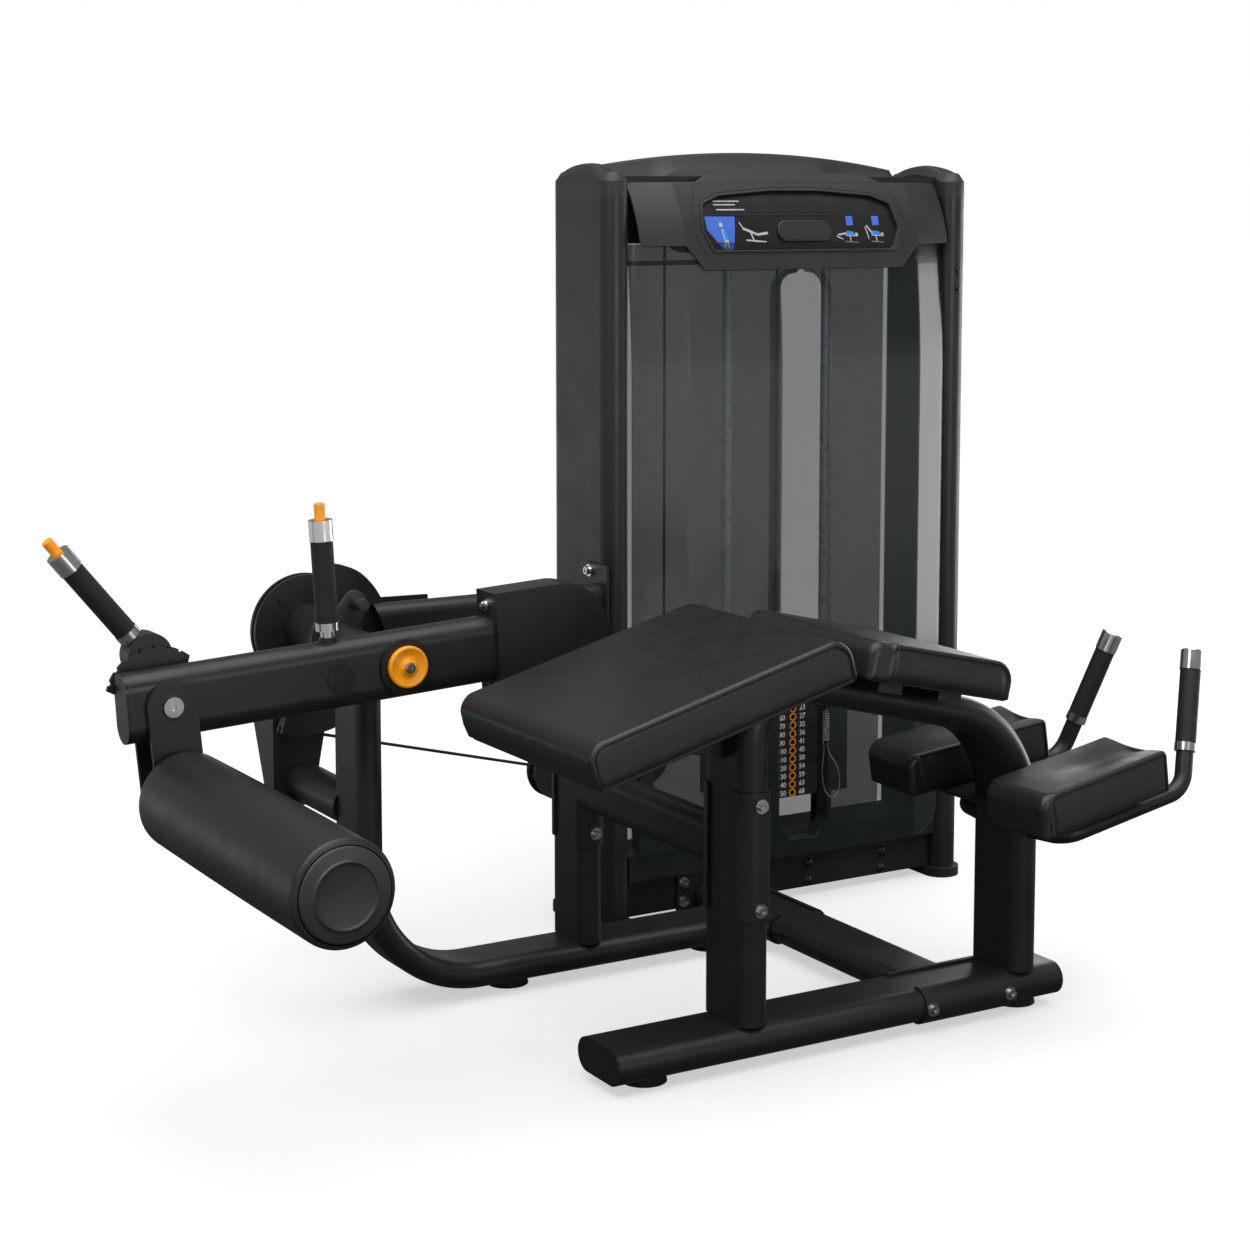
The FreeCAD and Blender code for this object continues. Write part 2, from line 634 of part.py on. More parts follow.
hangers = []
for centre, far_z in ((low_centre, 150), (top_left, 1492), (top_right, 1492)):
    low = min(centre.z - 16, far_z) if far_z < centre.z else centre.z - 16
    high = centre.z + 16 if far_z < centre.z else far_z
    for y0 in (cable_y - 16, cable_y + 11):
        cheek = box(centre.x - 16, centre.x + 16, y0, y0 + 5, low, high)
        hangers.append(cheek.cut(rod(V(centre.x, y0 - 5, centre.z), V(centre.x, y0 + 10, centre.z), 8)))
axles = []
for centre in (low_centre, top_left, top_right):
    axles.append(rod(centre - V(0, 20, 0), centre + V(0, 20, 0), 8))
export("pulley_hangers", hangers + axles)

# round cable guide at the tower's side: two cheeks, with spacers above and below the cable
guide_x = 122.0
guide_z = cable_start.z + (guide_x - cable_start.x) * math.tan(slope_c)
guide = V(guide_x, cable_y, guide_z)
guide_body = rod(V(guide_x, cable_y - 19, guide_z), V(guide_x, cable_y - 11, guide_z), 59)
guide_body = guide_body.fuse(rod(V(guide_x, cable_y + 11, guide_z), V(guide_x, cable_y + 19, guide_z), 59))
guide_body = guide_body.fuse(box(guide_x + 30, 192, cable_y + 11, cable_y + 19, guide_z - 30, guide_z + 30))
guide_body = guide_body.fuse(box(192, 198, cable_y + 5, cable_y + 60, guide_z - 40, guide_z + 40))
for across, along in ((26, 0), (-26, 0), (22, 40), (-22, 40), (22, -40), (-22, -40)):
    at = guide + cable_down * across + cable_dir * along
    guide_body = guide_body.fuse(rod(at - V(0, 11, 0), at + V(0, 11, 0), 9))
export("cable_guide", guide_body.removeSplitter())

# ---- lever -----------------------------------------------------------------------------
lever = oval_tube(lever_point(lever_left, lever_y, 0), lever_point(lever_right, lever_y, 0), lever_up,
                  lever_long, lever_short)
hub = rod(knee_at(lever_y - 30), knee_at(lever_y + 30), 34)
lever = lever.fuse(hub).cut(rod(knee_at(lever_y - 40), knee_at(lever_y + 40), shaft_radius + fit_gap))
socket_low = lever_point(-127, lever_y, 20)
socket_top = lever_point(-127, lever_y, 66)
stub = ring(socket_low, socket_top, 15, 10)
lever = lever.cut(rod(socket_low, lever_point(-127, lever_y, 80), 10)).fuse(stub).removeSplitter()
lever_hole = rod(V(bracket_x, 300, bracket_z), V(bracket_x, 500, bracket_z), 12 + fit_gap)
export("lever_tube", lever.cut(lever_hole))

shaft = rod(knee_at(lever_y - 30), knee_at(858), shaft_radius)
cam_hub = ring(knee_at(677), knee_at(cable_y - cam_thick / 2), 50, shaft_radius + fit_gap)
cam_hub = round_edges(cam_hub, 4, lambda m, e: m.y < 677.1 and e.BoundBox.XLength > 90)
export("pivot_shaft", shaft)


def spiral(angle):
    table = ((80, 118), (59, 136), (43, 146), (14, 158), (-15, 170), (-45, 186), (-74, 200), (-90, 203),
             (-107, 203))
    for (a0, r0), (a1, r1) in zip(table[:-1], table[1:]):
        if a0 >= angle >= a1:
            return r0 + (r1 - r0) * (a0 - angle) / float(a0 - a1)
    return table[-1][1]


def cam_layer(y0, thick, inset):
    def at(angle):
        reach = spiral(angle) - inset
        rad = math.radians(angle)
        return V(pivot_x + reach * math.cos(rad), y0, pivot_z + reach * math.sin(rad))
    stops = (80, 43, -15, -74, -107)
    edges = []
    for a0, a1 in zip(stops[:-1], stops[1:]):
        edges.append(Part.Arc(at(a0), at((a0 + a1) / 2.0), at(a1)).toShape())
    centre = V(pivot_x, y0, pivot_z)
    edges.append(Part.makeLine(at(stops[-1]), centre))
    edges.append(Part.makeLine(centre, at(stops[0])))
    sector = Part.Face(Part.Wire(edges)).extrude(V(0, thick, 0))
    disc = rod(V(pivot_x - 4, y0, pivot_z), V(pivot_x - 4, y0 + thick, pivot_z), 105 - inset)
    return sector.fuse(disc)


cam_y0 = cable_y - cam_thick / 2
inset = 203 - (cable_arm - cable_radius) + 0.3
cam = cam_layer(cam_y0, 8, 0).fuse(cam_layer(cam_y0 + 8, 10, inset)).fuse(cam_layer(cam_y0 + 18, 8, 0))
cam = cam.cut(rod(knee_at(700), knee_at(900), shaft_radius + fit_gap)).removeSplitter()
cam_boss = rod(V(pivot_x - 52, cam_y0 - 5, pivot_z + 60), V(pivot_x - 52, cam_y0, pivot_z + 60), 9)
cam = cam.fuse(cam_boss)
export("cam", [cam, cam_hub])

# bright stop plate on the shaft, with its stop pin
stop_face = 660.0
outline = rod(knee_at(stop_face), knee_at(stop_face + 10), 52)
tab_at = V(pivot_x + 37, 0, pivot_z + 67)
tab_dir = V(37, 0, 67)
tab_dir.normalize()
tab_side = V(-tab_dir.z, 0, tab_dir.x)
tab = prism([(p.x, stop_face, p.z) for p in (
    knee + tab_side * 40, knee + tab_side * 22 + tab_dir * 76, knee - tab_side * 22 + tab_dir * 76,
    knee - tab_side * 40)], V(0, 10, 0))
tab_round = rod(V(tab_at.x, stop_face, tab_at.z), V(tab_at.x, stop_face + 10, tab_at.z), 22)
stop = outline.fuse(tab).fuse(tab_round)
stop = stop.fuse(rod(V(tab_at.x, stop_face - 38, tab_at.z), V(tab_at.x, stop_face + 4, tab_at.z), 11))
stop = stop.cut(rod(knee_at(655), knee_at(675), shaft_radius + fit_gap)).removeSplitter()
export("stop_plate", stop)

weight_low = -90.0
weight_high = 102.0
end_plate = block_in_frame(lever_point(lever_right, lever_y - 35, weight_low), lever_along, along_y,
                           lever_up,
                           6, 70, weight_high - weight_low)
straight = block_in_frame(lever_point(lever_right + 6, lever_y - 35, weight_low), lever_along, along_y,
                          lever_up,
                          128, 70, weight_high - weight_low)
round_end = rod(lever_point(lever_right + 134, lever_y - 35, 6),
                lever_point(lever_right + 134, lever_y + 35, 6), 96)
cover = block_in_frame(lever_point(lever_right + 0.5, lever_y - 40, -64), lever_along, along_y, lever_up,
                       108, 4.9, 140)
cover_tail = block_in_frame(lever_point(lever_right + 100, lever_y - 40, -64), lever_along, along_y,
                            lever_up,
                            58, 4.9, 90)
cover_round = rod(lever_point(lever_right + 108, lever_y - 40, 26),
                  lever_point(lever_right + 108, lever_y - 35.1, 26), 50)
cover = cover.fuse(cover_tail).fuse(cover_round).removeSplitter()
export("counterweight", [end_plate, straight.fuse(round_end).removeSplitter(), cover])

lever_bolts = []
for v in (78, -76):
    lever_bolts.append(bolt(lever_point(lever_right, lever_y, v), lever_along * -1))
knee_face = lever_y - lever_short / 2.0
lever_bolts.append(rod(knee_at(knee_face - 24), knee_at(knee_face - 20), 9.5).fuse(
    rod(knee_at(knee_face - 28), knee_at(knee_face - 24),
        8)).cut(rod(knee_at(knee_face - 30), knee_at(knee_face - 26), 4)))
washer = rod(knee_at(knee_face - 8), knee_at(knee_face), 48)
disc = rod(knee_at(knee_face - 20), knee_at(knee_face - 8), 37)
disc = round_edges(disc, 3, lambda m, e: m.y < knee_face - 19)
export("knee_marker", disc)
plug = rod(lever_point(-121, knee_face - 3, -3), lever_point(-121, knee_face, -3), 25)
end_cap = oval_bar(lever_point(lever_left - 5, lever_y, 0), lever_point(lever_left, lever_y, 0),
                   lever_up, lever_long, lever_short)
export("lever_plugs", [washer, plug, end_cap])


# upright handle near the knee and its pull pin
def handle_parts(base, up):
    low = ring(base + up * 12, base + up * 26, 20.5, 13 + fit_gap)
    top = rod(base + up * 168, base + up * 204, 21).cut(rod(base + up * 160, base + up * 210, 10))
    grip = ring(base + up * 26, base + up * 168, 19.5, 13 + fit_gap)
    core = ring(base, base + up * 168, 13, 10)
    pull = rod(base + up * 120, base + up * 233, 9.5)
    pull = round_edges(pull, 2.5, lambda m, e: (m - base - up * 233).Length < 2)
    return low, top, grip, core, pull


start_base = lever_point(-127, lever_y, 66)
low, top, grip, core, pull = handle_parts(start_base, lever_up)
export("start_handle", [low, top, core])
export("start_grip", grip)
export("start_pull_pin", pull)

# locking sector on the lever's far side
bolt_axis = V(bracket_x, 0, bracket_z)
far_face = lever_y + lever_short / 2.0
sector_y = far_face + 1.0


def arc_point(radius, angle, y):
    rad = math.radians(angle)
    return V(bracket_x + radius * math.cos(rad), y, bracket_z + radius * math.sin(rad))


sector_edges = [
    Part.Arc(arc_point(90, 50, sector_y), arc_point(90, 108, sector_y),
             arc_point(90, 166, sector_y)).toShape(),
    Part.makeLine(arc_point(90, 166, sector_y), arc_point(46, 180, sector_y)),
    Part.Arc(arc_point(46, 180, sector_y), arc_point(46, 280, sector_y),
             arc_point(46, 20, sector_y)).toShape(),
    Part.makeLine(arc_point(46, 20, sector_y), arc_point(90, 50, sector_y)),
]
sector = Part.Face(Part.Wire(sector_edges)).extrude(V(0, 8, 0))
for k in range(7):
    notch = arc_point(90, 62 + 16 * k, 0)
    sector = sector.cut(rod(V(notch.x, sector_y - 1, notch.z), V(notch.x, sector_y + 9, notch.z), 4))
sector = sector.cut(rod(V(bracket_x, sector_y - 1, bracket_z), V(bracket_x, sector_y + 9, bracket_z),
                        12 + fit_gap))
spacer_ring = ring(V(bracket_x, far_face, bracket_z), V(bracket_x, sector_y, bracket_z), 46, 12 + fit_gap)
export("lock_sector", sector.fuse(spacer_ring).removeSplitter())

# ---- roller bracket --------------------------------------------------------------------
drop = V(roller_x - bracket_x, 0, roller_z - bracket_z)
drop_len = drop.Length
drop_dir = V(drop)
drop_dir.normalize()
drop_side = V(-drop_dir.z, 0, drop_dir.x)


def bracket_plate(y0, thick):
    loop = []
    for at, reach in ((0.0, 43), (drop_len, 43)):
        loop.append((V(bracket_x, y0, bracket_z) + drop_dir * at, reach))
    a = loop[0][0] + drop_side * 43
    b = loop[1][0] + drop_side * 43
    c = loop[1][0] - drop_side * 43
    d = loop[0][0] - drop_side * 43
    body = Part.Face(Part.makePolygon([a, b, c, d, a])).extrude(V(0, thick, 0))
    for centre, reach in loop:
        body = body.fuse(rod(centre, centre + V(0, thick, 0), reach))
    return body


near_plate = bracket_plate(365, 8)
far_plate_y = sector_y + 9
far_plate = bracket_plate(far_plate_y, 8)
drum = V(-852.0, 0, 724.0)
arm_dir = drum - bolt_axis
arm_len = arm_dir.Length
arm_dir.normalize()
arm_side = V(-arm_dir.z, 0, arm_dir.x)
far_base = V(bracket_x, far_plate_y, bracket_z)
arm_body = Part.Face(Part.makePolygon([
    far_base + arm_side * 38, far_base + arm_side * 34 + arm_dir * arm_len,
    far_base - arm_side * 34 + arm_dir * arm_len, far_base - arm_side * 38,
    far_base + arm_side * 38])).extrude(V(0, 8, 0))
drum_body = rod(V(drum.x, far_plate_y, drum.z), V(drum.x, far_plate_y + 44, drum.z), 39)
roller_axle = rod(V(roller_x, -285, roller_z), V(roller_x, far_plate_y + 8, roller_z), axle_radius)
spacer_tube = ring(V(roller_x, 373, roller_z), V(roller_x, far_plate_y, roller_z), 28, axle_radius - 1)
bracket_parts = near_plate.fuse(far_plate).fuse(arm_body).fuse(drum_body).fuse(spacer_tube).fuse(roller_axle)
pivot_pin = rod(V(bracket_x, 352, bracket_z), V(bracket_x, far_plate_y + 8, bracket_z), 12)
bracket_parts = bracket_parts.cut(pivot_pin)
handle_dir = V(-0.63, 0, 0.776)
handle_dir.normalize()
handle_mid = far_plate_y + 22
handle_base = V(drum.x, handle_mid, drum.z) + handle_dir * 30
low, top, grip, core, pull = handle_parts(handle_base, handle_dir)
bracket_parts = bracket_parts.cut(rod(handle_base, handle_base + handle_dir * 20, 13 + fit_gap))
export("roller_bracket", bracket_parts.removeSplitter())
pin_head = rod(V(bracket_x, 358, bracket_z), V(bracket_x, 365, bracket_z), 17)
pin_head = pin_head.fuse(rod(V(bracket_x, 365, bracket_z), V(bracket_x, far_plate_y + 8, bracket_z), 12))
pin_head = pin_head.cut(rod(V(bracket_x, 355, bracket_z), V(bracket_x, 361, bracket_z), 5))
export("lever_bolts", lever_bolts + [pin_head.removeSplitter()])
export("adjust_handle", [low, top, core])
export("adjust_grip", grip)
export("adjust_pull_pin", pull)

# roller: cushion on a plastic core, with end caps
roll_a = V(roller_x, roller_y[0], roller_z)
roll_b = V(roller_x, roller_y[1], roller_z)
core_tube = ring(roll_a + V(0, 6, 0), roll_b - V(0, 4, 0), 30, axle_radius + fit_gap)
cushion = ring(roll_a + V(0, 6, 0), roll_b - V(0, 4, 0), roller_radius, 30 + fit_gap)
cushion = round_edges(cushion, 9, lambda m,
                      e: e.BoundBox.XLength > 120 and abs(m.y - roller_x) > 1 and e.BoundBox.YLength < 1)
export("roller_cushion", cushion)
end_caps = []
near_cap = rod(roll_a, roll_a + V(0, 6, 0), 72).fuse(rod(roll_a - V(0, 3, 0), roll_a, 46))
end_caps.append(near_cap)
end_caps.append(ring(roll_b - V(0, 4, 0), roll_b, 72, axle_radius + fit_gap))
export("roller_core", [core_tube] + end_caps)

# ---- pads ------------------------------------------------------------------------------
pad_slope = math.radians(14.9)
pad_dir = V(math.cos(pad_slope), 0, math.sin(pad_slope))
pad_up = V(-math.sin(pad_slope), 0, math.cos(pad_slope))
thigh_origin = V(-369, -225, 569)
thigh = block_in_frame(thigh_origin, pad_dir, along_y, pad_up, 508, 450, 80)


def local_of(point, origin, along, up):
    d = point - origin
    return d.dot(along), d.y, d.dot(up)


def pad_round(shape, origin, along, up, length, width, thick, radius, which):
    def wanted(m, e):
        a, b, c = local_of(m, origin, along, up)
        if c < thick - 1:
            return False
        if which == "left":
            return a < 1
        if which == "right":
            return a > length - 1
        return abs(a - length / 2) < length / 3
    return round_edges(shape, radius, wanted)


thigh = pad_round(thigh, thigh_origin, pad_dir, pad_up, 508, 450, 80, 40, "right")
thigh = pad_round(thigh, thigh_origin, pad_dir, pad_up, 508, 450, 80, 24, "left")
export("thigh_pad", thigh)

chest_slope = math.radians(-13.0)
chest_dir = V(math.cos(chest_slope), 0, math.sin(chest_slope))
chest_up = V(-math.sin(chest_slope), 0, math.cos(chest_slope))
chest_origin = V(160, -192, 691)
chest = block_in_frame(chest_origin, chest_dir, along_y, chest_up, 312, 384, 67)
chest = pad_round(chest, chest_origin, chest_dir, chest_up, 312, 384, 67, 38, "right")
chest = pad_round(chest, chest_origin, chest_dir, chest_up, 312, 384, 67, 12, "left")
export("torso_pad", chest)

elbow_yaw = math.radians(5.06)
elbow_pitch = math.radians(8.13)
elbow_pads = []
for way in (-1, 1):
    d = V(math.cos(elbow_yaw) * math.cos(elbow_pitch), -way * math.sin(elbow_yaw) * math.cos(elbow_pitch),
          math.sin(elbow_pitch))
    s = V(-math.sin(elbow_yaw), -way * math.cos(elbow_yaw), 0)
    n = d.cross(s) * (1 if d.cross(s).z > 0 else -1)
    corner = V(498, way * 258, 383)
    pad = block_in_frame(corner, d, s, n, 315, 150, 79)
    pad = round_edges(pad, 10, lambda m, e: (m - corner).dot(n) > 78)
    elbow_pads.append(pad)
export("elbow_pads", elbow_pads)

# steel under the pads
strap = block_in_frame(V(-320, -60, 568.5), pad_dir, along_y, pad_up * -1, 420, 120, 8)
strap_lift = V(0, 0, 49 * math.tan(pad_slope))
strap.translate(strap_lift)
shoulder_solid = rod(V(shoulder.x, -80, shoulder.z), V(shoulder.x, 80, shoulder.z), shoulder_radius + 30)
strap = strap.cut(shoulder_solid).cut(box(80, 400, -100, 100, 500, 900))
web = prism(((-250, -4, 592), (-1.5, -4, 540), (-1.5, -4, 640), (-60, -4, 640)), V(0, 8, 0))
below = block_in_frame(V(-320, -60, 568.5) + strap_lift - pad_up * 8, pad_dir, along_y, pad_up, 700, 200,
                       200)
web = web.cut(below).cut(shoulder_solid)
chest_straps = []
for s0 in (60, 190):
    base = chest_origin + chest_dir * s0
    low = block_in_frame(V(base.x, -150, base.z) - chest_up * 0.3, chest_dir, along_y, chest_up * -1, 50,
                         300, 20)
    rail_solid = oval_bar(rail_start - slope_dir * 60, rail_end + slope_dir * 60, along_y, front_long,
                          front_short)
    low = low.cut(rail_solid).cut(shoulder_solid)
    keep = max(low.Solids, key=lambda s: s.Volume)
    chest_straps.append(keep)

elbow_plate_dir = V(math.cos(elbow_pitch), 0, math.sin(elbow_pitch))
elbow_plate_up = V(-math.sin(elbow_pitch), 0, math.cos(elbow_pitch))
plate_origin = V(498, -205, 383) + elbow_plate_dir * 62 - elbow_plate_up * 7.0
elbow_plate = block_in_frame(plate_origin, elbow_plate_dir, along_y, elbow_plate_up, 130, 410, 6)
post_block = oval_bar(V(head_x, 0, 80), V(head_x, 0, 380), along_y, front_long, front_short)
bend_block = oval_face(V(head_x, 0, head_centre.z), along_y, along_x, front_long, front_short)
bend_block = bend_block.revolve(head_centre, V(0, -1, 0), 60)
elbow_plate = elbow_plate.cut(post_block).cut(bend_block)
export("pad_supports", [strap, web, elbow_plate] + chest_straps)

# hand grips
grip_low = 464.0
grip_tubes = []
grip_collars = []
grips = []
for way in (-1, 1):
    base = V(912, way * 154, grip_low)
    axis = V(53, -way * 44, 177)
    axis.normalize()
    corner = base - axis * 60
    inner = V(636, way * 146, 348)
    tube = pipe([V(head_x, way * 50, 346), inner, corner, base + axis * 10], 16, [40, 50])
    tube = tube.cut(post_block)
    tube = max(tube.Solids, key=lambda s: s.Volume)
    grip_tubes.append(tube)
    core = base + axis * 10
    grip_collars.append(rod(core, core + axis * 15, 20))
    grips.append(rod(core + axis * 15, core + axis * 152, 19))
    tip = rod(core + axis * 152, core + axis * 190, 20.5)
    tip = round_edges(tip, 3, lambda m, e: (m - core).dot(axis) > 189)
    grip_collars.append(tip)
export("grip_tubes", grip_tubes)
export("grip_collars", grip_collars)
export("hand_grips", grips)

# ---- selector pin lanyard --------------------------------------------------------------
lanyard_radius = 1.25
coil_x = stack_x + 27
coil_y = 652.0
coil = rod(V(coil_x, coil_y, 360), V(coil_x, coil_y, pin_z - 24), 8)
route = [V(coil_x - 4, coil_y, 360), V(coil_x - 4, coil_y, 336), V(coil_x - 9, coil_y, 304),
         V(coil_x - 5, coil_y, 272),
         V(coil_x + 1, coil_y, 252), V(coil_x + 17, coil_y, 240), V(coil_x + 34, coil_y, 249),
         V(coil_x + 37, coil_y, 272), V(coil_x + 33, coil_y, 298), V(coil_x + 22, coil_y, 320),
         V(coil_x + 4, coil_y, 341), V(coil_x + 4, coil_y, 360)]
radii = []
for i in range(1, len(route) - 1):
    into = route[i] - route[i - 1]
    out = route[i + 1] - route[i]
    half = into.getAngle(out) / 2.0
    radii.append(0.45 * min(into.Length, out.Length) / math.tan(half))
lanyard_loop = pipe(route, lanyard_radius, radii)
print("lanyard radii", [round(r, 1) for r in radii], "volume check",
      round(lanyard_loop.Volume / (math.pi * lanyard_radius ** 2), 1))
export("lanyard_coil", coil)
export("lanyard_wire", lanyard_loop)


# ---- places of the moving joints, in metres ---------------------------------------------
def place(name, point):
    print("JOINT %s %.6f %.6f %.6f" % (name, (point.x + frame_shift_x) / 1000.0,
                                       (point.y + frame_shift_y) / 1000.0,
                                       point.z / 1000.0))


place("knee", knee_at(lever_y))
place("bracket", V(bracket_x, lever_y, bracket_z))
place("roller", V(roller_x, 30, roller_z))
place("pulley_low", low_centre)
place("pulley_top_left", top_left)
place("pulley_top_right", top_right)
place("stack", V(stack_x, cable_y, plate_z(1)))
place("pin", V(stack_x, 650, pin_z))
place("start_pull", start_base + lever_up * 200)
place("start_axis", lever_up * 1000 - V(frame_shift_x, frame_shift_y, 0))
place("adjust_pull", handle_base + handle_dir * 200)
place("adjust_axis", handle_dir * 1000 - V(frame_shift_x, frame_shift_y, 0))
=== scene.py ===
import math

import bmesh
import bpy
from mathutils import Matrix, Vector


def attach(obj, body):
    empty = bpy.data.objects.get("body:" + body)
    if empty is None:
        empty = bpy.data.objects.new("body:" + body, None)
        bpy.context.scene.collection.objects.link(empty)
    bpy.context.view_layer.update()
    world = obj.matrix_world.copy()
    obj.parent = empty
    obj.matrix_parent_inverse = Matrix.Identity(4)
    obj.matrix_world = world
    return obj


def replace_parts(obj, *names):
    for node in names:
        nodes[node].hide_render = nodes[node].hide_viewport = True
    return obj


# Looks for the lying leg curl. Everything is in metres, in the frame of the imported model.
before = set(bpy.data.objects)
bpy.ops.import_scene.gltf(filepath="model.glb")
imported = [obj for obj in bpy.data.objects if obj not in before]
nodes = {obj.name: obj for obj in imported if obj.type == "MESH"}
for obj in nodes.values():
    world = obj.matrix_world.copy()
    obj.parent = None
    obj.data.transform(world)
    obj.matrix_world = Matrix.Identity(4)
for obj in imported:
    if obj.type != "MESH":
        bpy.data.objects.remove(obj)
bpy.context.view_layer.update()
SX, SY = -0.04115, -0.33725


def at(x, y, z):
    """A point given in the part's own working millimetres, as the row frame's metres."""
    return Vector((x / 1000 + SX, y / 1000 + SY, z / 1000))


# ---- materials -------------------------------------------------------------------------
def new_material(name):
    mat = bpy.data.materials.new(name)
    mat.use_nodes = True
    tree = mat.node_tree
    bsdf = tree.nodes["Principled BSDF"]
    return mat, tree, bsdf


def noise_node(tree, scale, detail=4.0, rough=0.55):
    """A noise texture laid in the object's own coordinates."""
    tex = tree.nodes.new("ShaderNodeTexNoise")
    tex.inputs["Scale"].default_value = scale
    tex.inputs["Detail"].default_value = detail
    tex.inputs["Roughness"].default_value = rough
    coord = tree.nodes.new("ShaderNodeTexCoord")
    tree.links.new(coord.outputs["Object"], tex.inputs["Vector"])
    return tex


def vary(tree, tex, low, high, socket):
    """Drive a socket between two colours or greys by a noise texture."""
    ramp = tree.nodes.new("ShaderNodeValToRGB")
    for element, place, value in zip(ramp.color_ramp.elements, (0.3, 0.7), (low, high)):
        element.position = place
        element.color = (*value, 1)
    tree.links.new(tex.outputs["Fac"], ramp.inputs["Fac"])
    tree.links.new(ramp.outputs["Color"], socket)


def relief(tree, bsdf, height, strength, distance):
    bump = tree.nodes.new("ShaderNodeBump")
    bump.inputs["Strength"].default_value = strength
    bump.inputs["Distance"].default_value = distance
    tree.links.new(height, bump.inputs["Height"])
    tree.links.new(bump.outputs["Normal"], bsdf.inputs["Normal"])


def grey(v):
    return (v, v, v)


def cell_height(tree, scale):
    """The pebbled grain of upholstery vinyl: small cells with wavering borders."""
    cells = tree.nodes.new("ShaderNodeTexVoronoi")
    cells.feature = "F1"
    cells.inputs["Scale"].default_value = scale
    coord = tree.nodes.new("ShaderNodeTexCoord")
    warp = noise_node(tree, scale * 0.5, 3.0)
    push = tree.nodes.new("ShaderNodeVectorMath")
    push.operation = "MULTIPLY_ADD"
    push.inputs[1].default_value = (0.0015, 0.0015, 0.0015)
    tree.links.new(warp.outputs["Color"], push.inputs[0])
    tree.links.new(coord.outputs["Object"], push.inputs[2])
    tree.links.new(push.outputs["Vector"], cells.inputs["Vector"])
    return cells.outputs["Distance"]


def surface(name, low, high, rough, bump=0.0, bump_scale=600.0, metallic=0.0, mottle=9.0, coat=0.0,
            distance=0.0004, cells=False, specular=0.5):
    """A material with slow colour change, uneven gloss and a fine relief."""
    mat, tree, bsdf = new_material(name)
    vary(tree, noise_node(tree, mottle, 5.0), low, high, bsdf.inputs["Base Color"])
    gloss = noise_node(tree, mottle * 4.0, 6.0)
    vary(tree, gloss, grey(max(0.02, rough - 0.06)), grey(min(1.0, rough + 0.07)), bsdf.inputs["Roughness"])
    bsdf.inputs["Metallic"].default_value = metallic
    bsdf.inputs["Coat Weight"].default_value = coat
    bsdf.inputs["Coat Roughness"].default_value = 0.15
    bsdf.inputs["Specular IOR Level"].default_value = specular
    height = cell_height(tree, bump_scale) if cells else noise_node(tree, bump_scale, 3.0, 0.6).outputs["Fac"]
    relief(tree, bsdf, height, bump, distance)
    return mat


def brushed(name, low, high, rough, scale=900.0):
    """Plated steel: an even metal with a very fine grain."""
    mat, tree, bsdf = new_material(name)
    grain = noise_node(tree, scale, 4.0, 0.6)
    vary(tree, grain, low, high, bsdf.inputs["Base Color"])
    vary(tree, grain, grey(rough * 0.85), grey(min(1, rough * 1.2)), bsdf.inputs["Roughness"])
    relief(tree, bsdf, grain.outputs["Fac"], 0.08, 0.0001)
    bsdf.inputs["Metallic"].default_value = 1.0
    return mat


def smoked(name, low, high, solid):
    """Thin dark sheet that lets a part of the light straight through each of its two faces."""
    mat, tree, bsdf = new_material(name)
    vary(tree, noise_node(tree, 3.0, 3.0), low, high, bsdf.inputs["Base Color"])
    vary(tree, noise_node(tree, 5.0, 3.0), grey(0.10), grey(0.16), bsdf.inputs["Roughness"])
    relief(tree, bsdf, noise_node(tree, 4.0, 2.0).outputs["Fac"], 0.10, 0.003)
    bsdf.inputs["Alpha"].default_value = solid
    return mat


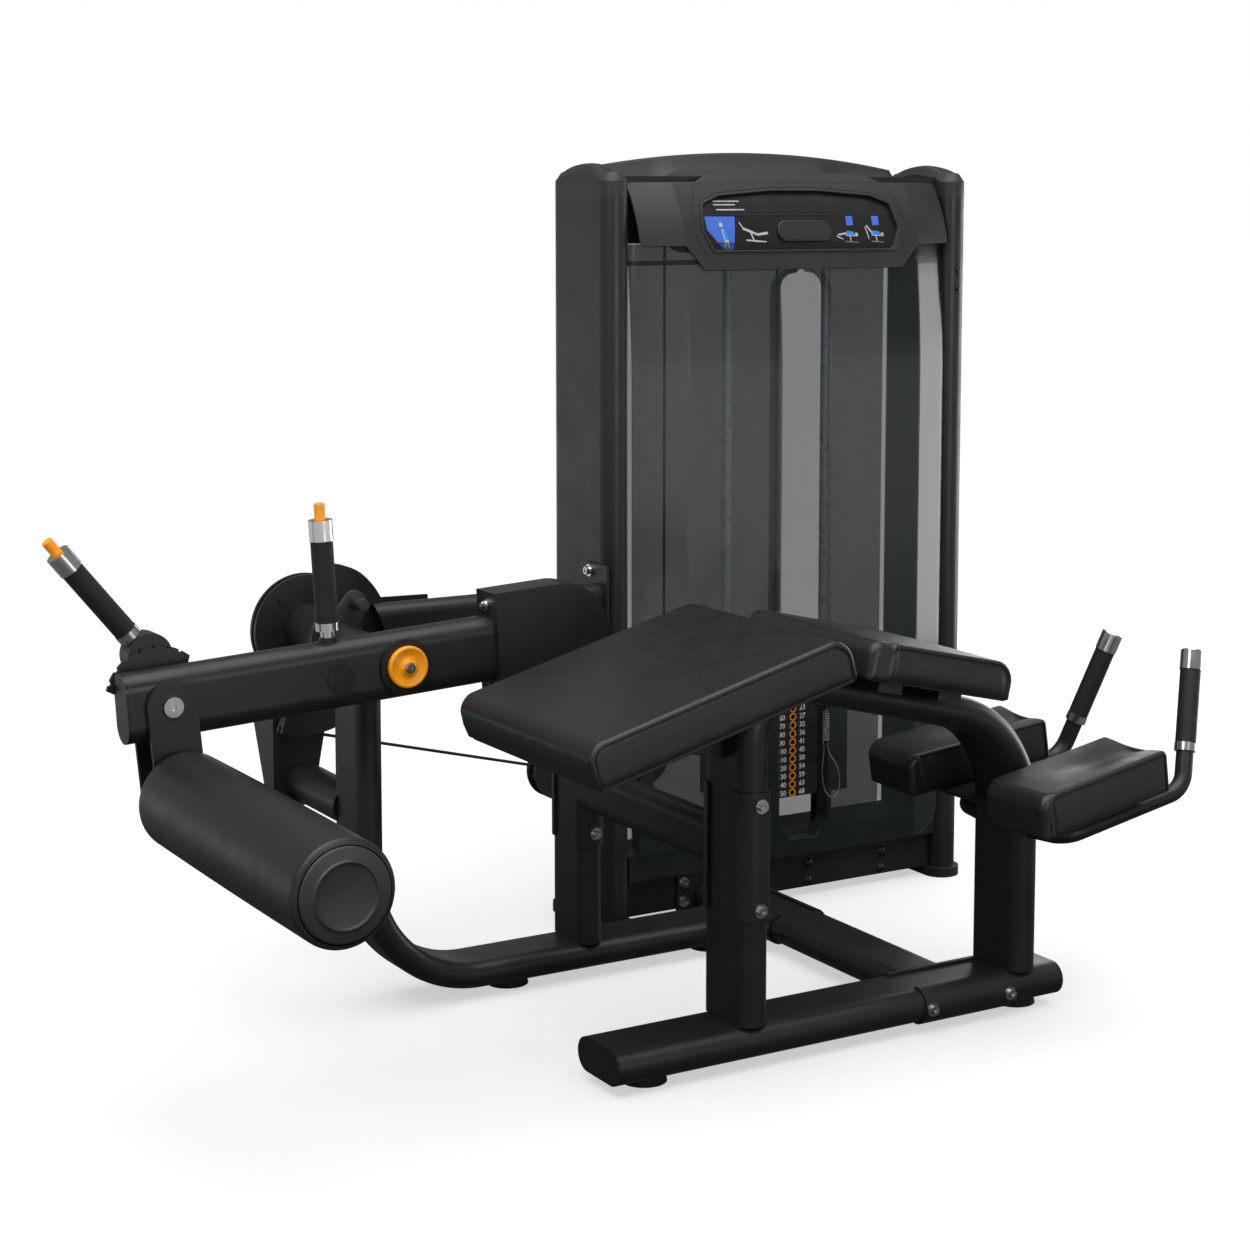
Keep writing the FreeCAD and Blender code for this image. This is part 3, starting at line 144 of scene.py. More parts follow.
M = {
    "paint": surface("paint", grey(0.0125), grey(0.0165), 0.36, bump=0.30, bump_scale=1400, distance=0.0003,
                     mottle=3.0, specular=0.42),
    "plastic": surface("plastic", grey(0.026), grey(0.031), 0.44, bump=0.4, bump_scale=1800, distance=0.00025,
                       mottle=3.0, specular=0.4),
    "gloss": surface("gloss", grey(0.010), grey(0.014), 0.32, bump=0.06, bump_scale=120, mottle=7.0,
                     specular=0.35),
    "rubber": surface("rubber", grey(0.012), grey(0.020), 0.70, bump=0.5, bump_scale=900, mottle=22,
                      specular=0.3),
    "zinc": brushed("zinc", grey(0.42), grey(0.62), 0.26),
    "chrome": surface("chrome", (0.66, 0.66, 0.67), (0.74, 0.74, 0.75), 0.16, bump=0.05, bump_scale=300,
                      metallic=1.0),
    "stack": surface("stack", grey(0.016), grey(0.026), 0.45, bump=0.6, bump_scale=500, mottle=14,
                     specular=0.35),
    "orange": surface("orange", (0.97, 0.33, 0.003), (1.0, 0.37, 0.006), 0.34, bump=0.10, bump_scale=400,
                      mottle=18, coat=0.15, specular=0.4),
    "vinyl": surface("vinyl", grey(0.0135), grey(0.0175), 0.37, bump=0.30, bump_scale=520, cells=True,
                     distance=0.0006, mottle=7, specular=0.45),
    "welt": surface("welt", grey(0.010), grey(0.015), 0.36, bump=0.3, bump_scale=700, mottle=30),
    "thread": surface("thread", grey(0.030), grey(0.055), 0.8, bump=0.6, bump_scale=2500, mottle=60),
    "board": surface("board", grey(0.010), grey(0.015), 0.6, bump=0.3, bump_scale=300, mottle=12),
    "grip": surface("grip", grey(0.010), grey(0.016), 0.58, bump=0.5, bump_scale=1200, mottle=25,
                    specular=0.35),
    "lanyard": surface("lanyard", grey(0.16), grey(0.26), 0.30, bump=0.2, bump_scale=1500, mottle=30,
                       metallic=0.7),
    "cable": surface("cable", grey(0.012), grey(0.024), 0.35, bump=0.3, bump_scale=1500, mottle=30),
    "nylon": surface("nylon", grey(0.014), grey(0.020), 0.40, bump=0.25, bump_scale=700, mottle=14,
                     specular=0.4),
    "smoked": smoked("smoked", (0.011, 0.019, 0.0165), (0.015, 0.025, 0.0215), 0.56),
    # the rods are steel; their pale blue tint and mostly diffuse brightness are a painted reflection of the
    # lights
    "rods": surface("rod_steel", (0.66, 0.74, 0.86), (0.72, 0.79, 0.90), 0.28, bump=0.02, bump_scale=300,
                    metallic=0.35),
    "plate_steel": surface("plate_steel", grey(0.085), grey(0.12), 0.34, bump=0.08, bump_scale=500,
                           metallic=0.8),
    "white": surface("white_print", grey(0.72), grey(0.80), 0.5, bump=0.1, bump_scale=900, mottle=40),
    "badge": surface("badge_face", grey(0.010), grey(0.014), 0.32, bump=0.1, bump_scale=200, mottle=5),
    # near-black painted shade, laid in grooves and in a screw recess where there is only shade
    "dark": surface("dark_hole", grey(0.004), grey(0.008), 0.8, bump=0.1, bump_scale=300, mottle=9),
}

nodes_by_look = {
    "paint": ["front_foot", "front_post", "bench_rail", "head_post", "pivot_post", "rear_base", "mid_post",
              "joint_plates", "rear_bearing_bracket", "side_beam", "tower_uprights", "tower_rails",
              "lever_tube", "cam", "roller_bracket", "pad_supports", "grip_tubes", "lock_sector",
              "counterweight"],
    "chrome": ["frame_bolts", "lever_bolts", "start_handle", "adjust_handle", "grip_collars"],
    "plate_steel": ["stop_plate"],
    "zinc": ["pivot_shaft", "selector_stem", "pulley_hangers"],
    "rubber": ["rubber_feet", "stack_bumpers"],
    "plastic": ["upright_caps", "header_cover", "roller_core"],
    "gloss": ["lever_plugs", "end_caps", "selector_pin"],
    "badge": ["badge_panel"],
    "rods": ["guide_rods"],
    "stack": ["stack_plates_resting", "stack_plates_lifted"],
    "cable": ["drive_cable", "cable_drop"],
    "nylon": ["pulley_low", "pulley_top_left", "pulley_top_right", "cable_guide"],
    "orange": ["start_pull_pin", "adjust_pull_pin"],
    "grip": ["start_grip", "adjust_grip", "hand_grips"],
}


for key, names in nodes_by_look.items():
    for name in names:
        nodes[name].data.materials.clear()
        nodes[name].data.materials.append(M[key])


# ---- mesh helpers ----------------------------------------------------------------------
def link(name, mesh, key, body, smooth=True):
    obj = bpy.data.objects.new(name, mesh)
    bpy.context.scene.collection.objects.link(obj)
    if key:
        obj.data.materials.append(M[key])
    if smooth:
        for p in mesh.polygons:
            p.use_smooth = True
    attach(obj, body)
    return obj


def finished(bm, name):
    mesh = bpy.data.meshes.new(name)
    bm.to_mesh(mesh)
    bm.free()
    return mesh


def split_at(bm, place, normal):
    """Cut every face along a plane, so that the sheet can bend there."""
    whole = list(bm.verts) + list(bm.edges) + list(bm.faces)
    bmesh.ops.bisect_plane(bm, geom=whole, plane_co=place, plane_no=normal)


def node_box(name):
    """The lowest and highest corner of a CAD node."""
    node = bpy.data.objects[name]
    corners = [node.matrix_world @ Vector(c) for c in node.bound_box]
    low = Vector([min(c[i] for c in corners) for i in range(3)])
    high = Vector([max(c[i] for c in corners) for i in range(3)])
    return low, high


def basis(origin, along, up):
    side = up.cross(along).normalized()
    m = Matrix((along, side, up)).transposed().to_4x4()
    m.translation = origin
    return m


def curve_piece(name, points, radius, key, body, cyclic=False, resolution=6):
    data = bpy.data.curves.new(name, "CURVE")
    data.dimensions = "3D"
    spline = data.splines.new("NURBS")
    spline.points.add(len(points) - 1)
    for p, q in zip(spline.points, points):
        p.co = (*q, 1)
    spline.order_u = 3
    if cyclic:
        spline.use_cyclic_u = True
    else:
        spline.use_endpoint_u = True
    spline.resolution_u = resolution
    data.bevel_depth = radius
    data.bevel_resolution = 3
    data.use_fill_caps = True
    obj = bpy.data.objects.new(name, data)
    bpy.context.scene.collection.objects.link(obj)
    data.materials.append(M[key])
    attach(obj, body)
    return obj


def smoothstep(t):
    t = max(0.0, min(1.0, t))
    return t * t * (3 - 2 * t)


# ---- upholstery ------------------------------------------------------------------------
def profile(length, thick, r0, r1, seam=None, swell=0.0, count=60):
    """Upper outline from the lower left corner round to the lower right one, and matching points below."""
    steps = 12
    hem = (0.0, 0.0015, 0.0035, 0.006, 0.009)
    points = [(0.0, z) for z in hem]
    points.append((0.0, (thick - r0 + hem[-1]) * 0.5))
    for i in range(steps + 1):
        a = math.pi - i / steps * math.pi / 2
        points.append((r0 + r0 * math.cos(a), thick - r0 + r0 * math.sin(a)))
    stations = [r0 + (length - r0 - r1) * i / count for i in range(1, count)]
    if seam is not None:
        stations = [x for x in stations if abs(x - seam) > 0.008]
        close = (-0.007, -0.005, -0.0035, -0.0022, -0.0011, 0, 0.0011, 0.0022, 0.0035, 0.005, 0.007)
        stations += [seam + d for d in close if seam + d > r0]
    points += [(x, thick) for x in sorted(stations)]
    for i in range(steps + 1):
        a = math.pi / 2 - i / steps * math.pi / 2
        points.append((length - r1 + r1 * math.cos(a), thick - r1 + r1 * math.sin(a)))
    points.append((length, (thick - r1 + hem[-1]) * 0.5))
    points += [(length, z) for z in reversed(hem)]
    bow = [swell * math.sin(math.pi * min(1.0, z / thick)) * max(0.0, 1 - x / r0) for x, z in points]
    points = [(x - out, z) for (x, z), out in zip(points, bow)]
    return points, [(max(0.0, x), 0.0) for x, z in points]


def edge_distance(x, z, outline):
    best = 1e9
    for (ax, az), (bx, bz) in zip(outline[:-1], outline[1:]):
        dx, dz = bx - ax, bz - az
        size = dx * dx + dz * dz
        t = 0.0 if size == 0 else max(0.0, min(1.0, ((x - ax) * dx + (z - az) * dz) / size))
        best = min(best, math.hypot(x - ax - t * dx, z - az - t * dz))
    return best


def upholstered(name, spot, size, rounds, crown, lip, bulge, dish=0.0, seam=None, soft=0.0,
                under=0.009, swell=0.0):
    """A padded block: one sheet wraps the ends and the top, and a panel is sewn into each long side.
    Beyond the seam, near the left end, there is no panel and the sheet rolls over the side softly."""
    length, width, thick = size
    up_pts, low_pts = profile(length, thick, *rounds, seam=seam, swell=swell)
    half = width / 2
    bm = bmesh.new()
    near = [0.0, 0.0005, 0.0012, 0.0022, 0.0034, 0.005, 0.007, 0.0095, 0.013, 0.018]
    rows_y = [-half + o for o in near]
    inner = half - near[-1]
    rows_y += [-inner + inner * k / 7 for k in range(1, 8)]
    rows_y += [-y for y in reversed(rows_y[:-1])]

    def turn_under(z):
        """How far the covering draws in near the lower edge."""
        return under - math.sqrt(max(0.0, under * under - (under - z) ** 2)) if z < under else 0.0

    def wrapped(x):
        """How much of the soft roll applies at this place along the pad."""
        return smoothstep((seam - x) / 0.010) if seam is not None else 0.0

    def lip_drop(d, x):
        r = lip + (soft - lip) * wrapped(x)
        return r - math.sqrt(max(0.0, r * r - (r - d) ** 2)) if d < r else 0.0

    def outward(i):
        (ax, az), (bx, bz) = up_pts[max(0, i - 1)], up_pts[min(len(up_pts) - 1, i + 1)]
        dx, dz = bx - ax, bz - az
        size_d = math.hypot(dx, dz) or 1.0
        return -dz / size_d, dx / size_d

    def crown_at(x, y):
        e = smoothstep((half - abs(y)) / (half * 0.75)) * smoothstep(min(x, length - x) / (length * 0.3))
        if not dish:
            return crown * e
        h = math.exp(-((y / (half * 0.50)) ** 2)) * smoothstep((x - length * 0.15) / (length * 0.65))
        return crown * e - dish * h

    def point(x, y, z):
        """A vertex, drawn in where the covering turns under the lower edges."""
        z = max(0.0, z)
        e = turn_under(z)
        out = swell * math.sin(math.pi * min(1.0, z / thick))
        x = min(max(x, e - out), length - e)
        reach = half + (0.004 if z > 0 else 0.0) - e
        y = min(max(y, -reach), reach)
        return bm.verts.new((x, y, z))

    wrap = []
    for y in rows_y:
        row = []
        d = half - abs(y)
        for i, (x, z) in enumerate(up_pts):
            nx, nz = outward(i)
            drop = lip_drop(d, x)
            gain = crown_at(x, y) * max(0.0, nz)
            px, pz = x + nx * (gain - drop), z + nz * (gain - drop)
            if seam is not None and d < 0.016:
                pz -= 0.0016 * math.exp(-(((x - seam) / 0.0022) ** 2)) * (1 - d / 0.016)
            row.append(point(px, math.copysign(min(abs(y), half - turn_under(z)), y), pz))
        wrap.append(row)
    for a, b in zip(wrap[:-1], wrap[1:]):
        for i in range(len(up_pts) - 1):
            bm.faces.new((a[i], a[i + 1], b[i + 1], b[i]))
    floor_rows = []
    for y in rows_y:
        row = []
        for i, (x, z) in enumerate(low_pts):
            row.append(point(x - outward(i)[0] * lip_drop(half - abs(y), up_pts[i][0]), y, 0.0))
        floor_rows.append(row)
    for a, b in zip(floor_rows[:-1], floor_rows[1:]):
        for i in range(len(low_pts) - 1):
            bm.faces.new((a[i], b[i], b[i + 1], a[i + 1]))

    def side_inset(x, z, w):
        """How far the side panel lies inside the pad's width, with the groove round it and its swell."""
        if w >= 1.0:
            return 0.0
        d = edge_distance(x, z, up_pts)
        groove = 0.0026 * math.exp(-(((d - lip * 1.1) / 0.0018) ** 2))
        step = 0.0016 * smoothstep((d - lip * 0.6) / 0.004)
        low = smoothstep(z / (thick * 0.30))
        puff = bulge * smoothstep((d - lip * 1.4) / (thick * 0.30)) * low
        inset = (groove + step - puff) * (1 - wrapped(x))
        if seam is not None:
            inset += 0.0030 * math.exp(-(((x - seam) / 0.0020) ** 2))
        return inset

    heights = [0.0, 0.018, 0.045, 0.08, 0.12, 0.2, 0.3, 0.42, 0.54, 0.65, 0.74, 0.81, 0.86, 0.90, 0.93, 0.955,
               0.98, 1.0]
    for sign in (-1, 1):
        rows = []
        for w in heights:
            row = []
            for i in range(len(up_pts)):
                ux, uz = up_pts[i]
                nx, nz = outward(i)
                full = lip_drop(0.0, ux)
                x, z = ux - nx * full, (uz - nz * full) * w
                inset = side_inset(x, z, w)
                row.append(point(x, sign * (half - max(inset, -0.0065) - turn_under(z)), z))
            rows.append(row)
        for a, b in zip(rows[:-1], rows[1:]):
            for i in range(len(up_pts) - 1):
                quad = (a[i], a[i + 1], b[i + 1], b[i])
                bm.faces.new(quad if sign < 0 else tuple(reversed(quad)))
    bmesh.ops.remove_doubles(bm, verts=bm.verts, dist=0.0003)
    bmesh.ops.dissolve_degenerate(bm, dist=0.00005, edges=bm.edges)
    bmesh.ops.recalc_face_normals(bm, faces=bm.faces)
    mesh = finished(bm, name)
    mesh.transform(spot)
    obj = link(name, mesh, "vinyl", "frame")
    return obj


def stitches(name, spot, runs, pitch=0.0062, size=(0.0038, 0.0011)):
    """Short thread stitches along straight runs given in a pad's own frame."""
    bm = bmesh.new()
    for run in runs:
        start, end = (Vector(p) for p in run)
        along = (end - start).normalized()
        turn = Vector((1, 0, 0)).rotation_difference(along).to_matrix().to_4x4()
        s = 0.0
        while s < (end - start).length:
            made = bmesh.ops.create_icosphere(bm, subdivisions=1, radius=0.5)
            m = Matrix.Translation(start + along * s) @ turn @ Matrix.Diagonal((size[0], size[1], size[1], 1))
            bmesh.ops.transform(bm, matrix=m, verts=made["verts"])
            s += pitch
    mesh = finished(bm, name)
    mesh.transform(spot)
    return link(name, mesh, "thread", "frame")


def board(name, spot, size, inset=0.006):
    """The thin backing board under a pad, with softened edges."""
    length, width = size[:2]
    bm = bmesh.new()
    made = bmesh.ops.create_cube(bm, size=1.0)
    m = Matrix.Translation((length / 2, 0, -0.0005 + 0.004)) @ Matrix.Diagonal(
        (length - 2 * inset, width - 2 * inset + 0.002, 0.009, 1))
    bmesh.ops.transform(bm, matrix=m, verts=made["verts"])
    bmesh.ops.bevel(bm, geom=list(bm.edges), offset=0.002, segments=2, affect="EDGES", profile=0.5)
    mesh = finished(bm, name)
    mesh.transform(spot)
    return link(name, mesh, "board", "frame", smooth=False)


def slope_frame(origin, degrees):
    a = math.radians(degrees)
    along = Vector((math.cos(a), 0, math.sin(a)))
    up = Vector((-math.sin(a), 0, math.cos(a)))
    return basis(origin, along, up)


thigh_size = (0.508, 0.450, 0.080)
thigh_at = slope_frame(at(-369, 0, 569), 14.9)
thigh = upholstered("thigh_cushion", thigh_at, thigh_size, (0.026, 0.042), 0.003, lip=0.0085, bulge=0.0008,
                    under=0.014, swell=0.006)
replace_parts(thigh, "thigh_pad")

chest_size = (0.312, 0.384, 0.067)
torso_seam = 0.052
chest_at = slope_frame(at(160, 0, 691), -13.0)
chest = upholstered("torso_cushion", chest_at, chest_size, (0.024, 0.038), 0.003, lip=0.0065, bulge=0.0060,
                    seam=torso_seam, soft=0.018)
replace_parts(chest, "torso_pad")
runs = []
for sign in (-1, 1):
    for dx in (-0.005, 0.005):
        y = sign * (chest_size[1] / 2 + 0.0002)
        runs.append([(torso_seam + dx, y, 0.004), (torso_seam + dx, y, 0.050)])
stitches("torso_stitches", chest_at, runs)

elbow_size = (0.315, 0.150, 0.079)
elbow_seam = 0.026
elbow_yaw, elbow_pitch = math.radians(5.06), math.radians(8.13)
for label, way in (("near", -1), ("far", 1)):
    flat = math.cos(elbow_pitch)
    along = Vector((math.cos(elbow_yaw) * flat, -way * math.sin(elbow_yaw) * flat, math.sin(elbow_pitch)))
    across = Vector((-math.sin(elbow_yaw), -way * math.cos(elbow_yaw), 0))
    up = along.cross(across)
    if up.z < 0:
        up = -up
    spot = basis(at(498, way * 258, 383) + across * elbow_size[1] / 2, along, up)
    pad = upholstered("elbow_cushion_" + label, spot, elbow_size, (0.026, 0.012), 0.001, lip=0.0075,
                      dish=0.013, bulge=0.0015, seam=elbow_seam, soft=0.016)
    if way == -1:
        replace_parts(pad, "elbow_pads")
    runs = []
    for sign in (-1, 1):
        y = sign * (elbow_size[1] / 2 + 0.0001)
        for dx in (-0.004, 0.0045):
            runs.append([(elbow_seam + dx, y, 0.010), (elbow_seam + dx, y, 0.064)])
        runs.append([(0.028, y - sign * 0.0012, 0.0655), (0.306, y - sign * 0.0012, 0.0655)])
        end_x, end_y = elbow_size[0] - 0.0012, y - sign * 0.006
        runs.append([(end_x, end_y, 0.006), (end_x, end_y, 0.062)])
    stitches("elbow_stitches_" + label, spot, runs, pitch=0.0052, size=(0.0034, 0.0010))
    board("elbow_board_" + label, spot, elbow_size)
board("thigh_board", thigh_at, thigh_size)
board("torso_board", chest_at, chest_size)


# ---- roller ----------------------------------------------------------------------------
def lathe(name, centre, rings, key, body, segments=96, close=True):
    """A turned piece about the Y direction: rings are (distance along Y, radius) pairs in metres."""
    bm = bmesh.new()
    loops = []
    for y, r in rings:
        loop = []
        for k in range(segments):
            a = 2 * math.pi * k / segments
            loop.append(bm.verts.new((centre.x + r * math.cos(a), centre.y + y, centre.z + r * math.sin(a))))
        loops.append(loop)
    for a, b in zip(loops[:-1], loops[1:]):
        for k in range(segments):
            j = (k + 1) % segments
            bm.faces.new((a[k], a[j], b[j], b[k]))
    if close:
        bm.faces.new(loops[0])
        bm.faces.new(tuple(reversed(loops[-1])))
    bmesh.ops.recalc_face_normals(bm, faces=bm.faces)
    mesh = finished(bm, name)
    return link(name, mesh, key, body)


roller_mid = at(-829, 0, 495)
rings = [(-0.2872, 0.070), (-0.2872, 0.074)]
for i in range(9):
    a = i / 8 * math.pi / 2
    rings.append((-0.2872 + 0.011 * (1 - math.cos(a)), 0.0720 + 0.011 * math.sin(a)))
for i in range(1, 12):
    t = i / 12
    rings.append((-0.276 + 0.622 * t, 0.083 + 0.0012 * math.sin(math.pi * t)))
for i in range(9):
    a = math.pi / 2 - i / 8 * math.pi / 2
    rings.append((0.357 - 0.011 * (1 - math.cos(a)), 0.0720 + 0.011 * math.sin(a)))
rings.append((0.3568, 0.070))
cushion = lathe("roller_cover", roller_mid, rings, "vinyl", "roller")
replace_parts(cushion, "roller_cushion")
seam = []
for k in range(64):
    a = 2 * math.pi * k / 64
    seam.append(roller_mid + Vector((0.0792 * math.cos(a), -0.2835, 0.0792 * math.sin(a))))
curve_piece("roller_seam", seam, 0.0013, "welt", "roller", cyclic=True)
cap_rings = [(-0.292, 0.0001), (-0.292, 0.046), (-0.2925, 0.0475), (-0.2955, 0.0485), (-0.2962, 0.050),
             (-0.2955, 0.0515), (-0.2925, 0.0525), (-0.2920, 0.054), (-0.2915, 0.068), (-0.2900, 0.0715),
             (-0.2868, 0.0722)]
near_cap = lathe("roller_end_cap", roller_mid, cap_rings, "plastic", "roller", close=False)
far_rings = [(0.3572, 0.0722), (0.3595, 0.0715), (0.3608, 0.068), (0.361, 0.055), (0.3600, 0.052),
             (0.3610, 0.049), (0.361, 0.0135), (0.357, 0.0128)]
lathe("roller_far_cap", roller_mid, far_rings, "plastic", "roller", close=False)
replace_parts(near_cap, "roller_core")


# ---- outlines and sheets ------------------------------------------------------------
def frame_piece(name, outer, inner, y0, y1, key, body, edge=0.0015):
    """A flat frame between two outlines with the same number of points."""
    bm = bmesh.new()
    rows = []
    for outline, y in ((outer, y1), (outer, y0), (inner, y0), (inner, y1)):
        rows.append([bm.verts.new((x, y, z)) for x, z in outline])
    count = len(outer)
    for a, b in zip(rows, rows[1:] + rows[:1]):
        for i in range(count):
            j = (i + 1) % count
            bm.faces.new((a[i], a[j], b[j], b[i]))
    bmesh.ops.recalc_face_normals(bm, faces=bm.faces)
    if edge:
        front = [e for e in bm.edges
                 if all(abs(v.co.y - y0) < 1e-6 for v in e.verts) and e.calc_face_angle(0) > 0.5]
        bmesh.ops.bevel(bm, geom=front, offset=edge, segments=2, affect="EDGES", profile=0.5)
    mesh = finished(bm, name)
    return link(name, mesh, key, body, smooth=False)


def rounded(points, radius, steps=5):
    """The same outline with its corners rounded; points are (x, z) in metres."""
    out = []
    count = len(points)
    for i in range(count):
        p = Vector(points[i])
        a = Vector(points[i - 1]) - p
        b = Vector(points[(i + 1) % count]) - p
        half = a.angle(b) / 2
        r = min(radius, 0.45 * min(a.length, b.length) * math.tan(half))
        back = r / math.tan(half)
        start, end = p + a.normalized() * back, p + b.normalized() * back
        for k in range(steps + 1):
            t = k / steps
            out.append(tuple((1 - t) ** 2 * start + 2 * t * (1 - t) * p + t * t * end))
    return out


def mm(points):
    return [(x / 1000 + SX, z / 1000) for x, z in points]


def bend(mesh, profile):
    """Slide every point back (+Y) by a distance that depends on its height."""
    for v in mesh.vertices:
        v.co.y += profile(v.co.z)


def lean_header(z):
    """How far the header's face has drawn back at a height, from its lower edge up."""
    return 2.15 * max(0.0, z - 1.350) ** 2


def lean_shroud(z):
    return 0.23 * max(0.0, z - 1.100) ** 2


def flat_panel(name, outlines, y, thick, key, edge=0.0012, lean=None, splits=()):
    """A sheet in the XZ plane from an outline and its holes, cut across at some heights so it can bend."""
    data = bpy.data.curves.new(name, "CURVE")
    data.dimensions = "2D"
    data.fill_mode = "BOTH"
    data.extrude = thick / 2 - edge
    data.bevel_depth = edge
    data.bevel_resolution = 2
    for outline in outlines:
        spline = data.splines.new("POLY")
        spline.points.add(len(outline) - 1)
        for q, (x, z) in zip(spline.points, outline):
            q.co = (x, z, 0, 1)
        spline.use_cyclic_u = True
    data.offset = -edge
    holder = bpy.data.objects.new(name, data)
    bpy.context.scene.collection.objects.link(holder)
    mesh = bpy.data.meshes.new_from_object(holder)
    bpy.data.objects.remove(holder)
    mesh.transform(Matrix.Translation((0, y + thick / 2, 0)) @ Matrix.Rotation(math.pi / 2, 4, "X"))
    bm = bmesh.new()
    bm.from_mesh(mesh)
    bmesh.ops.remove_doubles(bm, verts=bm.verts, dist=0.00002)
    for z in splits:
        split_at(bm, (0, 0, z), (0, 0, 1))
    bm.to_mesh(mesh)
    bm.free()
    if lean:
        bend(mesh, lean)
    return link(name, mesh, key, "frame", smooth=False)


def levels(low, high, count):
    return [low + (high - low) * k / count for k in range(1, count)]


# ---- upright caps: a ridge with drawn-down ends, and a sloping band all round -------------
def oval_ring(long, short, y_side, n=14):
    """A flat-sided oval as (across, along) offsets; the rounded ends take the short side as their width."""
    out = []
    r = short / 2
    reach = long / 2 - r
    for sign in (1, -1):
        for k in range(n + 1):
            a = math.pi * k / n
            out.append((sign * r * math.cos(a), sign * (reach + r * math.sin(a))))
        for k in range(1, y_side):
            out.append((-sign * r, sign * reach * (1 - 2 * k / y_side)))
    return out


def upright_cap(name, x_mid):
    bm = bmesh.new()
    base = oval_ring(0.230, 0.060, 16)
    rings = []

    def ridge(v):
        return 0.0155 * max(0.0, 1 - (v / 0.092) ** 2)

    rows = ((1.0, 0.0, 0.0), (1.0, 0.50, 0.0), (1.0, 0.92, 1.0), (0.995, 0.98, 1.0), (0.975, 1.0, 1.0))
    for grow, up, arch in rows:
        ring = []
        for u, v in base:
            z = 1.485 + 0.0345 * up + arch * ridge(v)
            ring.append(bm.verts.new((x_mid + u * grow, upright_mid + v * (1 - (1 - grow) * 0.26), z)))
        rings.append(ring)
    for inset, up in ((0.0085, 0.0155), (0.0115, 0.0185), (0.020, 0.0205), (0.0285, 0.0212)):
        ring = []
        for u, v in base:
            z = 1.5195 + ridge(v) * 0.85 + up * (1 - 0.12 * (v / 0.115) ** 2)
            fit_u = u * (1 - inset / 0.030)
            fit_v = v - math.copysign(min(abs(v), inset * min(1.0, abs(v) / 0.085)), v)
            ring.append(bm.verts.new((x_mid + fit_u, upright_mid + fit_v, min(z, 1.5575))))
        rings.append(ring)
    for low, high in zip(rings[:-1], rings[1:]):
        for k in range(len(base)):
            j = (k + 1) % len(base)
            bm.faces.new((low[k], low[j], high[j], high[k]))
    bm.faces.new(rings[-1])
    bmesh.ops.recalc_face_normals(bm, faces=bm.faces)
    mesh = finished(bm, name)
    return link(name, mesh, "plastic", "frame")


upright_mid = 845.5 / 1000 + SY
cap_left = upright_cap("upright_cap_left", 228 / 1000 + SX)
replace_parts(cap_left, "upright_caps")
upright_cap("upright_cap_right", 1067 / 1000 + SX)


# ---- header --------------------------------------------------------------------------------
middle_x = 649.0
hood_y = 697 / 1000 + SY
half_low, half_fold, half_out = 244, 288, 383


def mirrored(points):
    """The right half of an outline, from bottom to top, closed by its mirror image."""
    right = [(middle_x + dx, z) for dx, z in points]
    left = [(middle_x - dx, z) for dx, z in reversed(points)]
    return mm(right + left)


def folded(mesh, start, rate):
    """Turn the outer wings back beyond a fold line on each side."""
    for v in mesh.vertices:
        over = abs(v.co.x - (middle_x / 1000 + SX)) - start
        if over > 0:
            v.co.y += over * rate


def creased(mesh, folds):
    """Cut a sheet upright at each distance either side of its middle, then slope it back beyond each cut."""
    bm = bmesh.new()
    bm.from_mesh(mesh)
    centre = middle_x / 1000 + SX
    for start, rate in folds:
        for sign in (-1, 1):
            split_at(bm, (centre + sign * start / 1000, 0, 0), (1, 0, 0))
    bm.to_mesh(mesh)
    bm.free()
    for start, rate in folds:
        folded(mesh, start / 1000, rate)


def front_shell(name, outline, holes, y, thick, key, lean, splits, edge=0.0012):
    piece = flat_panel(name, [outline] + holes, y, thick, key, edge=edge, splits=splits)
    creased(piece.data, [(half_fold, wing_rate)])
    bend(piece.data, lean)
    return piece


wing_rate = 0.20
hood_outline = rounded(mirrored([(half_low, 1340), (half_fold - 2, 1389), (half_out - 3, 1389),
                                 (half_out, 1516), (half_fold - 58, 1517), (half_fold - 100, 1535)]), 0.013)
hood_splits = levels(1.345, 1.535, 12)
hood_hole = rounded(mirrored([(224, 1376), (246, 1421), (236, 1476), (190, 1494), (60, 1505)]), 0.010)
hood = front_shell("header_hood", hood_outline, [hood_hole], hood_y, 0.006, "plastic",
                   lean_header, hood_splits, edge=0.0018)
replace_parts(hood, "header_cover")

# a thin near-black strip flush with the hood's face paints the shade in the groove round the panel
groove_outer = rounded(mirrored([(241, 1371.5), (265.5, 1421), (254.5, 1476), (236, 1516)]), 0.006)
groove_inner = rounded(mirrored([(240, 1373), (264, 1421), (253, 1476), (234.6, 1516)]), 0.006)
flat_panel("header_panel_gap", [groove_outer, groove_inner], hood_y - 0.0003, 0.0006, "dark",
           edge=0.0001, splits=hood_splits, lean=lean_header)

recess_y = hood_y + 0.0085
rim_inner = rounded(mirrored([(220, 1380), (241, 1421), (231, 1473), (187, 1489), (60, 1499)]), 0.009)
flat_panel("header_rim", [hood_hole, rim_inner], hood_y - 0.0016, 0.0095, "plastic",
           edge=0.0012, splits=hood_splits, lean=lean_header)
panel_outline = mirrored([(226, 1374), (248, 1421), (238, 1478), (190, 1496), (60, 1507)])
panel = flat_panel("header_panel", [panel_outline], recess_y, 0.002, "badge", edge=0.0001,
                   splits=hood_splits, lean=lean_header)
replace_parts(panel, "badge_panel")


def on_panel(name, outlines, lift, thick, key, edge=0.0001):
    return flat_panel(name, outlines, recess_y - lift, thick, key, edge=edge,
                      splits=levels(1.37, 1.51, 10), lean=lean_header)


on_panel("panel_divider", [mirrored([(240, 1449.8), (240, 1451.4)])], 0.0012, 0.0012, "plastic")


